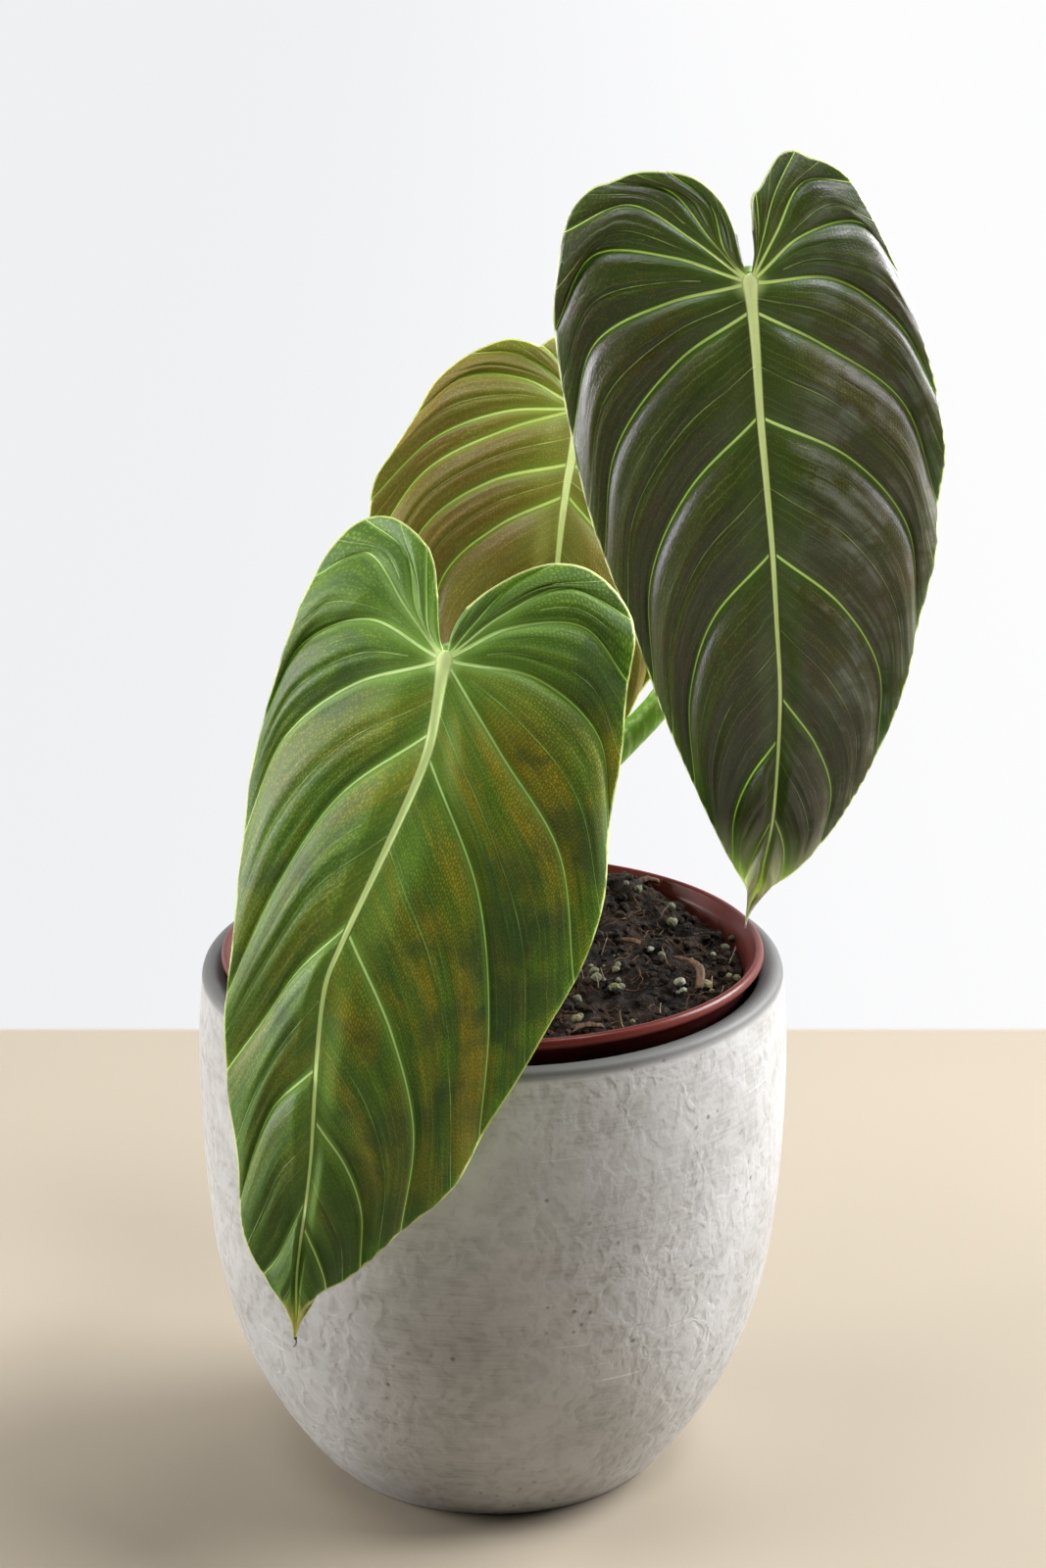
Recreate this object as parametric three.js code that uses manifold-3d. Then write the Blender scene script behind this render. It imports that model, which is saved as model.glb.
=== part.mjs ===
// Potted black gold philodendron: three hanging velvet leaves on stalks, a short stem rooted in
// potting mix, a plastic nursery pot, and the stoneware cover pot that the nursery pot stands in.
// Millimetres, +Z up. The origin is the centre of the cover pot's base and -Y is the front.

import * as THREE from 'three';
import { mergeVertices } from 'three/addons/utils/BufferGeometryUtils.js';
import Module from 'manifold-3d';

const wasm = await Module();
wasm.setup();

const DEGREE = Math.PI / 180;

// Driving dimensions
const GAP = 0.3;                     // between pieces that rest on or grow into one another
const COVER_RADIUS = 70;             // cover pot, at its rim
const COVER_HEIGHT = 128.9;
const COVER_WALL = 5.9;
const COVER_FLOOR = 9.5;             // top of its floor, which the nursery pot stands on
const LEAN = 1.06 * DEGREE;          // of the nursery pot, its front side up
const LIP_RADIUS = 65.2;             // nursery pot, at its rolled lip
const LIP_TOP = 132.9;
const LIP_HEIGHT = 2.6;
const LIP_OVERHANG = 2.6;            // lip beyond the wall below it
const NURSERY_FOOT_RADIUS = 41.2;
const NURSERY_FLOOR = COVER_FLOOR + GAP + NURSERY_FOOT_RADIUS * Math.sin(LEAN);
const NURSERY_WALL = 1.4;
const NURSERY_FLOOR_TOP = NURSERY_FLOOR + 2.2;
const SOIL_TOP = 129.2;
const TURNS = 48;                    // facets round both pots
const BLADE_THICKNESS = 0.8;
const RIB_DEPTH = 1.1;               // how far the midrib stands out below the blade
const RIB_CREST = 0.35;              // and above it
const VEIN_DEPTH = 0.35;             // of the side veins, below the blade
const JOINT_RADIUS = 2.0;            // pale knot where the stalk meets the blade
const MIDRIB_HALF_WIDTH = 1.3;       // near the knot
const MIDRIB_TIP_HALF_WIDTH = 0.45;
const STEM_RADIUS = 5.6;
const STALK_RADIUS = 3.9;            // where a leaf stalk leaves the stem
const STALK_END_RADIUS = 2.1;        // and behind its blade
const GOLDEN_ANGLE = 137.508 * DEGREE;

// Materials
const finish = (color, roughness) => new THREE.MeshStandardMaterial({ color, roughness, metalness: 0 });

// Closed bodies for joining and cutting
function toSolid(geometry) {
  const bare = geometry.clone();
  bare.deleteAttribute('normal');
  bare.deleteAttribute('uv');
  const merged = mergeVertices(bare, 1e-3);
  return new wasm.Manifold(new wasm.Mesh({
    numProp: 3,
    vertProperties: new Float32Array(merged.attributes.position.array),
    triVerts: new Uint32Array(merged.index.array),
  }));
}

function toGeometry(solid) {
  const mesh = solid.getMesh();
  const geometry = new THREE.BufferGeometry();
  geometry.setAttribute('position', new THREE.BufferAttribute(new Float32Array(mesh.vertProperties), 3));
  geometry.setIndex(new THREE.BufferAttribute(new Uint32Array(mesh.triVerts), 1));
  geometry.computeVertexNormals();
  return geometry;
}

function fromFaces(points, faces) {
  const geometry = new THREE.BufferGeometry();
  const flat = points.flatMap((point) => [point.x, point.y, point.z]);
  geometry.setAttribute('position', new THREE.Float32BufferAttribute(flat, 3));
  geometry.setIndex(faces.flat());
  geometry.computeVertexNormals();
  return geometry;
}

// A turned piece from its half section, given as [radius, height] round its material
function turned(section) {
  const points = section.map(([radius, height]) => new THREE.Vector2(radius, height));
  const geometry = new THREE.LatheGeometry(points, TURNS);
  geometry.rotateX(Math.PI / 2);
  return geometry;
}

// Value at x on a smooth line through [x, value] points
function along(points, x) {
  const last = points.length - 1;
  if (x <= points[0][0]) return points[0][1];
  if (x >= points[last][0]) return points[last][1];
  const slope = (i) => {
    const before = points[Math.max(i - 1, 0)];
    const after = points[Math.min(i + 1, last)];
    return (after[1] - before[1]) / (after[0] - before[0]);
  };
  const i = points.findIndex((point) => point[0] > x) - 1;
  const step = points[i + 1][0] - points[i][0];
  const f = (x - points[i][0]) / step;
  const rise = points[i + 1][1] - points[i][1];
  const a = slope(i) * step - rise;
  const b = rise - slope(i + 1) * step;
  return points[i][1] + f * rise + f * (1 - f) * (a * (1 - f) + b * f);
}

// A repeatable random draw between 0 and 1
function seededDraw(seed) {
  let state = seed;
  return () => {
    state = (state * 1664525 + 1013904223) % 4294967296;
    return state / 4294967296;
  };
}

// Cover pot: a round-bellied stoneware bowl with a smooth rim that slopes inwards
function coverPot() {
  const belly = [[44.5, 3.9], [49.4, 10.3], [55.2, 19.3], [61.5, 32.2], [67.1, 51.5],
    [69.7, 70.9], [70.9, 90.2], [71.1, 109.5]];
  const foot = [[0, 0], [39.8, 0], [41.1, 0.8]];
  const rim = [
    [COVER_RADIUS, COVER_HEIGHT - 2.3],
    [COVER_RADIUS - 0.6, COVER_HEIGHT - 0.7],
    [COVER_RADIUS - 2, COVER_HEIGHT],
    [COVER_RADIUS - 4, COVER_HEIGHT - 0.5],
    [COVER_RADIUS - 5.6, COVER_HEIGHT - 1.6],
    [COVER_RADIUS - 6.2, COVER_HEIGHT - 4],
  ];
  const inside = belly.slice(2).reverse().map(([radius, height]) => [radius - COVER_WALL, height]);
  const floor = [[45, COVER_FLOOR + 3], [43.5, COVER_FLOOR + 0.7], [41.5, COVER_FLOOR], [0, COVER_FLOOR]];
  return turned([...foot, ...belly, ...rim, ...inside, ...floor]);
}

// Tips a piece with the nursery pot's lean, about the middle of its lip
function lean(geometry) {
  return geometry.translate(0, 0, -LIP_TOP).rotateX(-LEAN).translate(0, 0, LIP_TOP);
}

// Nursery pot: thin tapered plastic with a rolled lip, and drain holes in its floor
function nurseryPot() {
  const lipFoot = LIP_TOP - LIP_HEIGHT;
  const wallTop = LIP_RADIUS - LIP_OVERHANG;
  const section = [
    [0, NURSERY_FLOOR],
    [NURSERY_FOOT_RADIUS - 1.5, NURSERY_FLOOR],
    [NURSERY_FOOT_RADIUS, NURSERY_FLOOR + 1.5],
    [wallTop, lipFoot - 0.1],
    [LIP_RADIUS - 0.4, lipFoot],
    [LIP_RADIUS, lipFoot + 0.5],
    [LIP_RADIUS, LIP_TOP - 0.6],
    [LIP_RADIUS - 0.5, LIP_TOP],
    [LIP_RADIUS - 1.6, LIP_TOP],
    [LIP_RADIUS - 2.1, LIP_TOP - 0.6],
    [wallTop - NURSERY_WALL, lipFoot - 1],
    [NURSERY_FOOT_RADIUS - NURSERY_WALL, NURSERY_FLOOR_TOP + 0.6],
    [0, NURSERY_FLOOR_TOP],
  ];
  const holeRadius = 3.5;
  const holeCount = 8;
  const holeRing = 31;
  let pot = toSolid(turned(section));
  for (let i = 0; i < holeCount; i += 1) {
    const hole = new THREE.CylinderGeometry(holeRadius, holeRadius, 12, 10);
    hole.rotateX(Math.PI / 2);
    const angle = (i / holeCount) * 2 * Math.PI;
    hole.translate(holeRing * Math.cos(angle), holeRing * Math.sin(angle), NURSERY_FLOOR);
    pot = pot.subtract(toSolid(hole));
  }
  return lean(toGeometry(pot));
}

// Radius of the space inside the nursery pot at a height
function insideRadius(height) {
  const low = [NURSERY_FOOT_RADIUS - NURSERY_WALL, NURSERY_FLOOR_TOP + 0.6];
  const high = [LIP_RADIUS - LIP_OVERHANG - NURSERY_WALL, LIP_TOP - LIP_HEIGHT - 1];
  return low[0] + ((high[0] - low[0]) * (height - low[1])) / (high[1] - low[1]);
}

// Height of the potting mix: heaped behind the stem, sunk at the wall, lumpy all over
function soilHeight(x, y) {
  const heap = 3 * Math.exp(-((x - 25) ** 2 + (y - 35) ** 2) / (2 * 18 ** 2));
  const sink = 1.5 * (Math.hypot(x, y) / insideRadius(SOIL_TOP)) ** 4;
  const lumps = 0.9 * Math.sin(0.31 * x + 1.1) * Math.sin(0.27 * y - 0.4)
    + 0.6 * Math.sin(0.62 * x - 0.5 * y) * Math.cos(0.55 * y + 0.3 * x);
  return SOIL_TOP + heap - sink + lumps;
}

// The body of the potting mix, round rings of points under its lumpy top
function mixBody() {
  const rings = 8;
  const spokes = 36;
  const base = NURSERY_FLOOR_TOP + 0.6 + GAP;
  const topRadius = insideRadius(SOIL_TOP - 4) - GAP;
  const baseRadius = insideRadius(base) - 2 * GAP;
  const points = [new THREE.Vector3(0, 0, soilHeight(0, 0))];
  for (let ring = 1; ring <= rings + 1; ring += 1) {
    const radius = ring > rings ? baseRadius : (topRadius * ring) / rings;
    for (let spoke = 0; spoke < spokes; spoke += 1) {
      const angle = (spoke / spokes) * 2 * Math.PI;
      const x = radius * Math.cos(angle);
      const y = radius * Math.sin(angle);
      points.push(new THREE.Vector3(x, y, ring > rings ? base : soilHeight(x, y)));
    }
  }
  points.push(new THREE.Vector3(0, 0, base));
  const at = (ring, spoke) => 1 + (ring - 1) * spokes + (spoke % spokes);
  const faces = [];
  for (let spoke = 0; spoke < spokes; spoke += 1) {
    faces.push([0, at(1, spoke), at(1, spoke + 1)]);
    for (let ring = 1; ring <= rings; ring += 1) {
      faces.push([at(ring, spoke), at(ring + 1, spoke), at(ring + 1, spoke + 1)]);
      faces.push([at(ring, spoke), at(ring + 1, spoke + 1), at(ring, spoke + 1)]);
    }
    faces.push([points.length - 1, at(rings + 1, spoke + 1), at(rings + 1, spoke)]);
  }
  return toSolid(lean(fromFaces(points, faces)));
}

// Potting mix with pumice grains and a curl of bark bedded in it, and a plain hole for the stem
function pottingMix(stemSolid) {
  const draw = seededDraw(7);
  const grains = 36;
  const stemRoom = 11;
  const sunk = 0.3;
  let mix = mixBody();
  for (let i = 0; i < grains; i += 1) {
    const spread = (insideRadius(SOIL_TOP) - 7) * Math.sqrt((i + 0.5) / grains);
    const angle = i * GOLDEN_ANGLE + 0.4 * draw();
    const x = spread * Math.cos(angle);
    const y = spread * Math.sin(angle);
    if (Math.hypot(x - STEM_ROUTE[1][0], y - STEM_ROUTE[1][1]) < stemRoom) continue;
    const grain = new THREE.IcosahedronGeometry(1.6 + 1.6 * draw(), 0);
    grain.scale(1, 0.7 + 0.5 * draw(), 0.8);
    grain.rotateZ(2 * Math.PI * draw());
    grain.translate(x, y, soilHeight(x, y) + sunk);
    mix = mix.add(toSolid(lean(grain)));
  }
  const [barkX, barkY] = [38, -2];
  const bark = new THREE.CylinderGeometry(3.2, 3.6, 13, 7);
  bark.scale(1, 1, 0.55);
  bark.rotateZ(0.4);
  bark.translate(barkX, barkY, soilHeight(barkX, barkY) + 1);
  mix = mix.add(toSolid(lean(bark)));
  return toGeometry(mix.subtract(stemSolid));
}

// A round stalk along a curve, its radius a function of the way along it
function stalk(points, radiusAt, sides, steps) {
  const curve = new THREE.CatmullRomCurve3(points.map((point) => new THREE.Vector3(...point)));
  const frames = curve.computeFrenetFrames(steps, false);
  const ends = [curve.getPointAt(0), curve.getPointAt(1)];
  const vertices = [];
  for (let i = 0; i <= steps; i += 1) {
    const centre = curve.getPointAt(i / steps);
    for (let side = 0; side < sides; side += 1) {
      const angle = (side / sides) * 2 * Math.PI;
      const radius = radiusAt(i / steps, centre);
      const vertex = centre.clone();
      vertex.addScaledVector(frames.normals[i], radius * Math.cos(angle));
      vertex.addScaledVector(frames.binormals[i], radius * Math.sin(angle));
      vertices.push(vertex);
    }
  }
  const at = (i, side) => i * sides + (side % sides);
  const faces = [];
  for (let side = 0; side < sides; side += 1) {
    for (let i = 0; i < steps; i += 1) {
      faces.push([at(i, side), at(i, side + 1), at(i + 1, side + 1)]);
      faces.push([at(i, side), at(i + 1, side + 1), at(i + 1, side)]);
    }
    faces.push([vertices.length, at(0, side + 1), at(0, side)]);
    faces.push([vertices.length + 1, at(steps, side), at(steps, side + 1)]);
  }
  return fromFaces([...vertices, ...ends], faces);
}

// The stem's route up out of the mix, and the heights of the swollen rings where stalks leave it
const STEM_ROUTE = [[-2, 5, 112], [-2, 5, 130], [0, 3, 145], [1, 1, 160], [0, -1, 173], [-1, -2, 182]];
const STEM_RINGS = [144, 157, 171];

// Stem: short and upright, with extra on its radius where it stands in for its own clearance
function stem(extra) {
  const radiusAt = (way, centre) => {
    const rings = STEM_RINGS.map((height) => Math.exp(-(((centre.z - height) / 3) ** 2)));
    const tip = Math.sqrt(Math.max(1 - way ** 12, 0.05));
    return (STEM_RADIUS - way + 0.9 * Math.max(...rings)) * tip + extra;
  };
  return stalk(STEM_ROUTE, radiusAt, 12, 30);
}

// Leaves. Each blade is drawn flat, as [across, down] from the knot where its stalk joins it, then
// bent and hung between its joint and its tip. A vein leaves the midrib so far down it, or the knot
// at 0, passes two points and ends on the edge, counted in points of the edge. The first line of a
// half is the notch side of its lobe and the last is the drip tip.
const FRONT_LEAF = {
  name: 'front_leaf',
  joint: [-9.8, -78, 228.9],
  tip: [-44.2, -82, 66.1],
  yaw: 10,
  arch: 9,
  lobeFall: 0.006,
  keel: { left: [0.32, 0.0045], right: [0.05, 0.0022] },
  wave: 1.5,
  midrib: [[0, 0], [14, 1.1], [22, 1], [35, -1.3], [52, -4.9], [68, -8.3], [76, -9.5], [96, -7.7],
    [118, -4.8], [147, -3.1], [160, -1.3], [165, -0.8]],
  left: {
    edge: [[-4.8, -12.5], [-7.9, -19.4], [-12, -23], [-20, -24.4], [-27.5, -20.5], [-32, -14], [-35, -4],
      [-37.3, 10], [-38.7, 30], [-38.4, 43], [-36, 58], [-33.2, 74], [-31.6, 92], [-28.2, 110],
      [-22.4, 125.5], [-18.7, 139], [-12.5, 150], [-5.2, 157.5], [-1.5, 165]],
    veins: [
      { from: 0, via: [[-2.4, -5], [-3.8, -9]], to: 0 },
      { from: 0, via: [[-5, -5], [-7.4, -12]], to: 1.6 },
      { from: 0, via: [[-8.6, -8], [-14.4, -18.5]], to: 3.8 },
      { from: 0, via: [[-11.7, -8.2], [-23.2, -15.6]], to: 5.8 },
      { from: 0, via: [[-19, -2.7], [-33.6, 8.7]], to: 7.9 },
      { from: 0, via: [[-19, 12], [-32.7, 29.7]], to: 9.7 },
      { from: 17, via: [[-16.4, 36], [-25.8, 60]], to: 11.8 },
      { from: 63, via: [[-16.4, 75.5], [-22.4, 90.5]], to: 12.8 },
      { from: 97, via: [[-15.8, 109], [-18.7, 123]], to: 14.8 },
      { from: 130, via: [[-6.5, 138], [-8.5, 146]], to: 16.2 },
      { from: 164, to: 18 },
    ],
  },
  right: {
    edge: [[2, -12], [6, -17], [14, -23], [24, -25], [33, -21], [38.7, -14], [39.7, -3], [42, 12.5],
      [42.8, 27], [45.6, 44], [44.4, 59], [40, 75], [36, 89], [31.3, 103], [27.3, 117.5], [17, 132],
      [8, 146.5], [0.8, 154], [0, 165]],
    veins: [
      { from: 0, via: [[0.1, -4.8], [0.6, -8.3]], to: 0 },
      { from: 0, via: [[4.6, -9.2], [9.9, -18]], to: 2.45 },
      { from: 0, via: [[9.8, -12.1], [22.3, -20.6]], to: 4.7 },
      { from: 0, via: [[12.2, -9.8], [27.5, -13.1]], to: 5.95 },
      { from: 0, via: [[20, -0.6], [36, 9]], to: 8.1 },
      { from: 0, via: [[17, 17.3], [33.6, 35.3]], to: 10.3 },
      { from: 22, via: [[18.5, 47.7], [27, 76.7]], to: 13.2 },
      { from: 64, via: [[7, 84], [16.3, 106]], to: 14.9 },
      { from: 109, via: [[2.7, 117.3], [8.2, 127.5]], to: 15.7 },
      { from: 136, via: [[0.5, 142], [3, 147]], to: 16.5 },
      { from: 164, to: 18 },
    ],
  },
  stalk: [[0, -1, 169], [-3, -24, 192], [-7, -48, 212], [-9, -62, 222]],
};

const RIGHT_LEAF = {
  name: 'right_leaf',
  joint: [59.2, 0, 294.6],
  tip: [61.2, 8, 133.5],
  yaw: 0,
  arch: 9,
  lobeFall: 0.005,
  keel: { left: [0.1, 0.0028], right: [0.1, 0.0028] },
  wave: 1.2,
  midrib: [[0, 0], [15, 1.3], [30, 2.3], [45, 3.7], [63, 5.3], [82, 6.5], [98, 7.4], [120, 6.8],
    [132, 6], [142, 4.3], [148, 3.2], [152, 1.6], [158, 0.2], [161.5, 0]],
  left: {
    edge: [[-2.9, -11], [-6.2, -18], [-12, -22.8], [-18.8, -24.2], [-26, -23.8], [-31.2, -21.2],
      [-35.4, -19.8], [-41.2, -13.5], [-43.6, -4.7], [-45, 6], [-44.8, 13], [-43.4, 25], [-41.2, 37.4],
      [-37.7, 53], [-34.4, 63.5], [-30.7, 73.3], [-26, 86], [-21, 101.5], [-15, 116.7], [-8.3, 132],
      [-2.8, 144.5], [0.2, 152], [-0.7, 161.5]],
    veins: [
      { from: 0, via: [[-1.6, -4.5], [-2.4, -8]], to: 0 },
      { from: 0, via: [[-5.8, -7.4], [-8.8, -17]], to: 3 },
      { from: 0, via: [[-8.9, -9.6], [-18, -19.6]], to: 5.2 },
      { from: 0, via: [[-13, -9.4], [-27.4, -16.4]], to: 7.5 },
      { from: 0, via: [[-17.5, -5.3], [-35.7, -4.8]], to: 10 },
      { from: 0, via: [[-19.3, 5.2], [-35.6, 15.5]], to: 12.1 },
      { from: 7, via: [[-16.2, 18], [-30.7, 39]], to: 14.2 },
      { from: 31, via: [[-14, 48], [-22.8, 69.7]], to: 16.8 },
      { from: 63, via: [[-8.4, 79], [-13.7, 99]], to: 18.4 },
      { from: 110, via: [[0.6, 119.6], [-2.9, 130]], to: 19.9 },
      { from: 132, via: [[2.6, 138.5], [0.4, 145]], to: 20.7 },
      { from: 160.5, to: 22 },
    ],
  },
  right: {
    edge: [[0.4, -12], [0.6, -18.6], [2.5, -21], [4.2, -24], [6.9, -27.6], [10, -28.5], [13.5, -27.4],
      [17.6, -26], [22.7, -22.2], [27.8, -14.4], [33.2, -3.3], [39.3, 11.6], [43.5, 27], [45.8, 42],
      [44.5, 53.3], [44, 66], [40.2, 81.5], [37.7, 94], [32.8, 110], [26, 125.4], [18.4, 138.2],
      [9, 147.2], [3.6, 152], [0.7, 161.5]],
    veins: [
      { from: 0, via: [[0.9, -4.5], [0.8, -8.5]], to: 0 },
      { from: 0, via: [[1.6, -6.2], [2, -12.7]], to: 1.5 },
      { from: 0, via: [[2.8, -9.6], [5.6, -19.2]], to: 5.2 },
      { from: 0, via: [[6, -10.9], [12.3, -21.6]], to: 8.2 },
      { from: 0, via: [[11.8, -10], [25.4, -12]], to: 10.3 },
      { from: 0, via: [[19, -0.1], [34.3, 10.9]], to: 12.1 },
      { from: 7, via: [[16.5, 14.5], [35.5, 29.2]], to: 14.1 },
      { from: 31, via: [[23.4, 41.2], [37, 58.3]], to: 16.2 },
      { from: 63, via: [[21.3, 75.8], [30.7, 92.6]], to: 18.3 },
      { from: 99, via: [[16, 111], [20, 124]], to: 20.1 },
      { from: 131, via: [[8.6, 137], [9, 142]], to: 21.1 },
      { from: 160.5, to: 23 },
    ],
  },
  stalk: [[1, 2, 155], [14, 6, 165], [31, 10.5, 180], [42, 14, 192], [54, 18, 220], [59.5, 20, 254],
    [60, 18, 278], [59.6, 12, 289]],
};

const BACK_LEAF = {
  name: 'back_leaf',
  joint: [21.2, 50, 252.4],
  tip: [10.1, 22, 150],
  yaw: 0,
  arch: 6,
  lobeFall: 0.006,
  keel: { left: [0.05, 0.002], right: [0.05, 0.002] },
  wave: 1.4,
  midrib: [[0, 0], [10, -0.7], [20, -1.5], [38, -1.8], [70, -1], [107, 0]],
  left: {
    edge: [[-1.6, -12], [-4.5, -17.5], [-8.4, -16.6], [-11.3, -14.4], [-14.5, -15], [-19, -15.2],
      [-25, -12.6], [-30.5, -8.8], [-36, -2.6], [-39.4, 5], [-44.4, 15], [-47.8, 22], [-48.4, 30],
      [-47, 39], [-41, 53], [-32, 69], [-22, 84], [-11, 96], [-3, 103], [-0.8, 107]],
    veins: [
      { from: 0, via: [[-1.1, -4.5], [-1.4, -8]], to: 0 },
      { from: 0, via: [[-3.1, -5.4], [-6.1, -10.9]], to: 2.9 },
      { from: 0, via: [[-7.3, -7.7], [-17, -12]], to: 6.6 },
      { from: 0, via: [[-14.4, -6], [-29.4, -4.7]], to: 9.2 },
      { from: 0, via: [[-18.3, 2.6], [-34.7, 10.9]], to: 11.7 },
      { from: 0, via: [[-18, 7.2], [-36, 19]], to: 13 },
      { from: 14, via: [[-20, 19.8], [-34.5, 32]], to: 14 },
      { from: 22, via: [[-17.3, 30.6], [-29, 44]], to: 15.2 },
      { from: 48, via: [[-12, 61], [-18, 76]], to: 16.4 },
      { from: 76, via: [[-5.5, 86], [-7.5, 94]], to: 17.6 },
      { from: 106, to: 19 },
    ],
  },
  right: {
    edge: [[1.6, -12], [4, -16], [9, -18.5], [15, -18.5], [22, -16], [29, -11.5], [35, -5], [40, 3],
      [43.5, 12], [45, 22], [44, 32], [40, 42], [33, 53], [23, 64.5], [18.4, 75], [12.5, 86],
      [6.5, 95], [3, 101], [1.3, 104], [0.8, 107]],
    veins: [
      { from: 0, via: [[1.1, -4.5], [1.4, -8]], to: 0 },
      { from: 0, via: [[3, -6], [6.5, -12]], to: 2.6 },
      { from: 0, via: [[8, -8], [18, -12.5]], to: 5 },
      { from: 0, via: [[13.5, -6.5], [28, -5.5]], to: 7.1 },
      { from: 0, via: [[16, 0], [32, 7]], to: 9 },
      { from: 0, via: [[15, 7.5], [30, 17]], to: 10.7 },
      { from: 14, via: [[16, 21.5], [30, 32]], to: 12 },
      { from: 22, via: [[13, 35], [23, 49]], to: 13.2 },
      { from: 48, via: [[9.5, 61], [14.5, 74]], to: 14.8 },
      { from: 76, via: [[5.5, 86], [6.5, 92]], to: 16.4 },
      { from: 106, to: 19 },
    ],
  },
  stalk: [[0, 4, 144], [4, 20, 144], [10, 38, 151], [16, 54, 169], [21, 62, 200], [22.4, 63, 230],
    [22, 60, 243]],
};

// The axes of a hung blade: across, down its length, and out of its velvet face
function hangingAxes(leaf) {
  const joint = new THREE.Vector3(...leaf.joint);
  const down = new THREE.Vector3(...leaf.tip).sub(joint);
  const length = down.length();
  down.normalize();
  const level = new THREE.Vector3().crossVectors(new THREE.Vector3(0, 1, 0), down).normalize();
  if (level.x < 0) level.negate();
  const face = new THREE.Vector3().crossVectors(down, level);
  if (face.y > 0) face.negate();
  const turn = leaf.yaw * DEGREE;
  const across = level.clone().multiplyScalar(Math.cos(turn)).addScaledVector(face, Math.sin(turn));
  const out = face.clone().multiplyScalar(Math.cos(turn)).addScaledVector(level, -Math.sin(turn));
  return { joint, down, across, out, length };
}

// How far the bent blade stands out of its flat drawing at a point: arched down its length, and
// falling back on either side of its midrib
function bend(leaf, length, u, v) {
  const reach = v / length;
  const arch = v > 0 ? leaf.arch * Math.sin(Math.PI * Math.min(reach, 1)) : leaf.arch * Math.PI * reach;
  const lobe = v < 0 ? leaf.lobeFall * v * v : 0;
  const aside = u - along(leaf.midrib, v);
  const [slope, curl] = aside < 0 ? leaf.keel.left : leaf.keel.right;
  return arch - lobe - slope * Math.abs(aside) - curl * aside * aside;
}

// Where a vein starts, in mm down the midrib, or back round the knot where it is negative
function veinStart(vein) {
  if (vein.from > 0) return vein.from;
  const [u, v] = vein.via[0];
  return JOINT_RADIUS * Math.max(Math.atan2(v, Math.abs(u)), -75 * DEGREE);
}

// The foot of a vein on its side of the midrib
function footAt(leaf, side, length, start) {
  if (start >= 0) {
    const half = midribHalfWidth(start, length);
    return new THREE.Vector3(along(leaf.midrib, start) + side * half, start, 0);
  }
  const angle = start / JOINT_RADIUS;
  return new THREE.Vector3(side * JOINT_RADIUS * Math.cos(angle), JOINT_RADIUS * Math.sin(angle), 0);
}

// One line of a half blade, from the midrib out to the edge, at a place counted in veins
function bladeLine(leaf, half, side, length, place) {
  const edge = new THREE.CatmullRomCurve3(half.edge.map(([u, v]) => new THREE.Vector3(u, v, 0)));
  const index = Math.min(Math.floor(place), half.veins.length - 2);
  const [near, next] = [half.veins[index], half.veins[index + 1]];
  const mixOf = (a, b) => a + (b - a) * (place - index);
  const foot = footAt(leaf, side, length, mixOf(veinStart(near), veinStart(next)));
  const head = edge.getPoint(mixOf(near.to, next.to) / (half.edge.length - 1));
  const viaOf = (vein, k) => {
    if (vein.via) return new THREE.Vector3(...vein.via[k], 0);
    const from = footAt(leaf, side, length, vein.from);
    return from.lerp(edge.getPoint(vein.to / (half.edge.length - 1)), (k + 1) / 3);
  };
  const vias = [0, 1].map((k) => viaOf(near, k).lerp(viaOf(next, k), place - index));
  return new THREE.CatmullRomCurve3([foot, ...vias, head]);
}

function midribHalfWidth(v, length) {
  const knot = (JOINT_RADIUS - MIDRIB_HALF_WIDTH) * Math.exp(-v / 5);
  const narrowing = (MIDRIB_HALF_WIDTH - MIDRIB_TIP_HALF_WIDTH) * Math.min(v / length, 1);
  return knot + MIDRIB_HALF_WIDTH - narrowing;
}

// Puff of the blade between two veins, share of the way from one to the other, at t along them
function puff(width, share, t) {
  return Math.min(0.09 * width, 1.7) * (1 - (2 * share - 1) ** 2) * (1 - 0.6 * t ** 4);
}

// Slow wave of the blade's edge, none at the notch and the drip tip
function edgeWave(leaf, side, place, spaces, t) {
  return leaf.wave * t ** 3 * Math.sin(place * 2.6 + side * 1.3) * Math.min(place, spaces - place, 1);
}

// One line of a half blade as points in the flat, each with its lift out of it and its rib below
function halfLine(leaf, side, length, place, stepsPerLine) {
  const half = side < 0 ? leaf.left : leaf.right;
  const spaces = half.veins.length - 1;
  const cell = Math.min(Math.floor(place), spaces - 1);
  const share = place - Math.floor(place);
  const line = bladeLine(leaf, half, side, length, place);
  const above = bladeLine(leaf, half, side, length, cell);
  const below = bladeLine(leaf, half, side, length, cell + 1);
  const points = [];
  for (let j = 0; j <= stepsPerLine; j += 1) {
    const t = j / stepsPerLine;
    const flat = line.getPoint(t);
    const width = above.getPoint(t).distanceTo(below.getPoint(t));
    const raised = puff(width, share, t) + edgeWave(leaf, side, place, spaces, t);
    const midribFlank = j === 0 ? RIB_DEPTH / 2 : 0;
    const vein = share === 0 ? VEIN_DEPTH * (1 - t) : 0;
    points.push({ flat, lift: bend(leaf, length, flat.x, flat.y) + raised, rib: midribFlank + vein });
  }
  return points;
}

// The midrib's crest between the feet of a left and a right line
function crest(leaf, length, left, right) {
  const flat = left.clone().lerp(right, 0.5);
  const taper = 1 - 0.6 * Math.max(0, Math.min(flat.y / length, 1));
  const lift = bend(leaf, length, flat.x, flat.y) + RIB_CREST * taper;
  return { flat, lift, rib: (RIB_DEPTH + RIB_CREST) * taper };
}

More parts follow.
